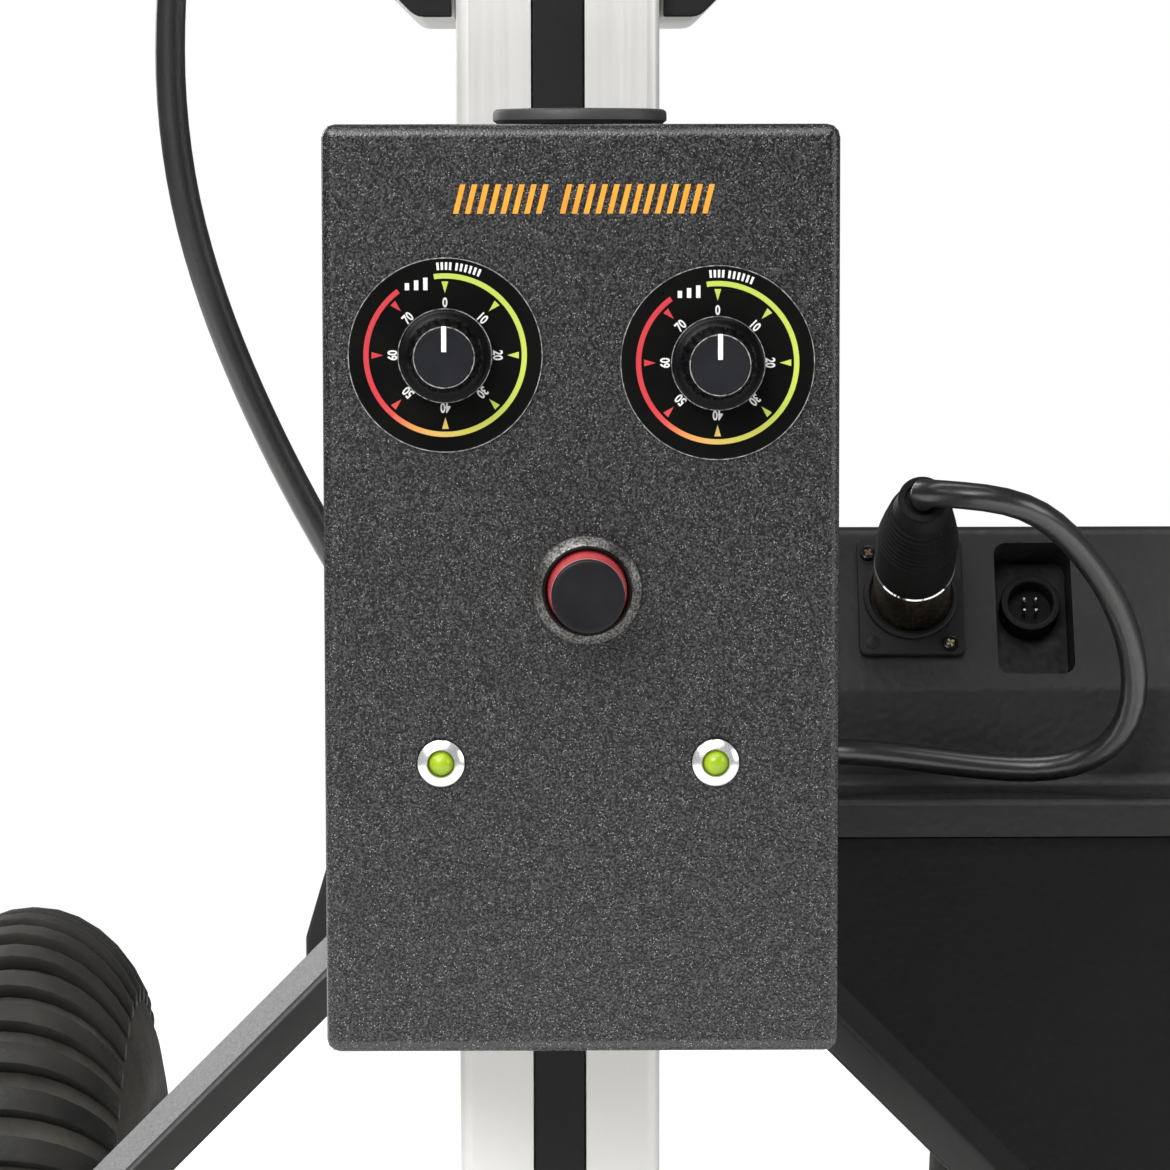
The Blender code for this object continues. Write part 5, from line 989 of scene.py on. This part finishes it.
def makeMotor(side, word):
    body = "head"
    place = Matrix.Translation((side * head["spread"], head["y"], head["motorTop"]))
    turnedPiece("motor_can_" + word, "powderCoat", body, place, 72, [
        (0.0, -0.086), (0.0375, -0.086), (0.0375, -0.014), (0.0, -0.014)], ("motor_" + word,))
    bm = bmesh.new()
    turned(bm, [(0.0, -0.106), (0.011, -0.106), (0.012, -0.105), (0.012, -0.100), (0.0365, -0.100),
                (0.0380, -0.0985), (0.0380, -0.0865), (0.0375, -0.086), (0.0, -0.086)], place, 72)
    turned(bm, [(0.0, -0.014), (0.0375, -0.014), (0.0380, -0.0135), (0.0380, -0.0005), (0.0375, 0.0),
                (0.012, 0.0), (0.012, 0.0055), (0.0115, 0.006), (0.0060, 0.0063), (0.0060, 0.0640),
                (0.0055, 0.0646), (0.0, 0.0646)], place, 72)
    finished("motor_ends_" + word, bm, "millAluminium", body)
    bm = bmesh.new()
    for step in range(4):
        spin = Matrix.Rotation(math.tau * (step + 0.5) / 4, 4, "Z")
        at = place @ spin @ Matrix.Translation((0.029, 0, -0.100)) @ Matrix.Rotation(math.pi, 4, "X")
        hexHead(bm, at, 0.0042, 0.0030)
    softened(bm, 0.0003, 2, 40)
    finished("motor_bolts_" + word, bm, "brightSteel", body)


def makeLaunchWheel(side, word):
    body = "launch_" + word
    place = Matrix.Translation((side * head["spread"], head["y"], head["middle"]))
    radius, half, web = head["radius"], head["half"], head["web"]
    boss = half - head["bossDrop"]
    ring = [(radius - 0.020, -half), (radius - 0.003, -half), (radius - 0.0008, -half + 0.0010),
            (radius, -half + 0.0032), (radius - 0.0012, -0.012), (radius - 0.0017, 0.0)]
    ring += [(reach, -along) for reach, along in reversed(ring[:-1])]
    turnedPiece("launch_tyre_" + word, "greyUrethane", body, place, 96, ring, ("launch_wheel_" + word,))
    inner = radius - 0.0202
    hub = [(0.0063, -boss), (0.0215, -boss), (0.0220, -boss + 0.0005), (0.0220, -web),
           (inner - 0.004, -web), (inner - 0.003, -half + 0.0010), (inner, -half + 0.0010)]
    hub += [(reach, -along) for reach, along in reversed(hub)]
    turnedPiece("launch_hub_" + word, "millAluminium", body, place, 96, hub)
    bm = bmesh.new()
    for step in range(6):
        spin = Matrix.Rotation(math.tau * step / 6, 4, "Z") @ Matrix.Translation((head["boltRing"], 0, web))
        hexHead(bm, place @ spin, 0.0060, 0.0042)
    hexHead(bm, place @ Matrix.Translation((0, 0, boss)), 0.0085, 0.0040)
    softened(bm, 0.0005, 2, 40)
    finished("launch_bolts_" + word, bm, "brightSteel", body)


for side, word in ((-1, "left"), (1, "right")):
    makeMotor(side, word)
    makeLaunchWheel(side, word)
print("launch head made")


# White tent of light: a wide soft sky from the upper left front, faint fills, pale surround
sky = {"from": (-0.30, -0.42, 1.0), "spread": 75, "power": 4.0}
lights = {"front": {"at": (-0.9, -2.2, 1.7), "aim": (0, -0.2, 0.4), "size": 1.5, "power": 42},
          "right": {"at": (2.1, -0.9, 0.9), "aim": (0.1, 0, 0.4), "size": 1.2, "power": 12},
          "behind": {"at": (-1.4, 1.9, 1.2), "aim": (0, 0, 0.4), "size": 1.4, "power": 20}}


def makeLights():
    above = bpy.data.lights.new("sky", "SUN")
    above.angle = math.radians(sky["spread"])
    above.energy = sky["power"]
    added("sky", above).matrix_world = facing((0, 0, 3), sky["from"])
    for name, spec in lights.items():
        lit = bpy.data.lights.new(name, "AREA")
        lit.shape = "DISK"
        lit.size = spec["size"]
        lit.energy = spec["power"]
        added(name, lit).matrix_world = facing(spec["at"], Vector(spec["at"]) - Vector(spec["aim"]))


surround = {"seen": 1.0, "lit": 0.14, "tint": (1, 0.995, 0.985, 1)}
floorReach = 1.6


def makeSurround():
    world = bpy.data.worlds.new("surround")
    bpy.context.scene.world = world
    world.use_nodes = True
    tree = world.node_tree
    tree.nodes.clear()
    out = tree.nodes.new("ShaderNodeOutputWorld")
    pale, lit = tree.nodes.new("ShaderNodeBackground"), tree.nodes.new("ShaderNodeBackground")
    pale.inputs["Color"].default_value = (1, 1, 1, 1)
    pale.inputs["Strength"].default_value = surround["seen"]
    lit.inputs["Color"].default_value = surround["tint"]
    lit.inputs["Strength"].default_value = surround["lit"]
    seen = tree.nodes.new("ShaderNodeLightPath")
    either = tree.nodes.new("ShaderNodeMixShader")
    tree.links.new(seen.outputs["Is Camera Ray"], either.inputs["Fac"])
    tree.links.new(lit.outputs["Background"], either.inputs[1])
    tree.links.new(pale.outputs["Background"], either.inputs[2])
    tree.links.new(either.outputs["Shader"], out.inputs["Surface"])
    bpy.context.scene.view_settings.view_transform = "Standard"


def makeFloor():
    bm = bmesh.new()
    bmesh.ops.create_grid(bm, x_segments=2, y_segments=2, size=floorReach)
    mesh = bpy.data.meshes.new("floor")
    bm.to_mesh(mesh)
    bm.free()
    mesh.materials.append(materials["paleFloor"])
    ground = added("floor", mesh)


makeLights()
makeSurround()
makeFloor()
print("floor and lights made")
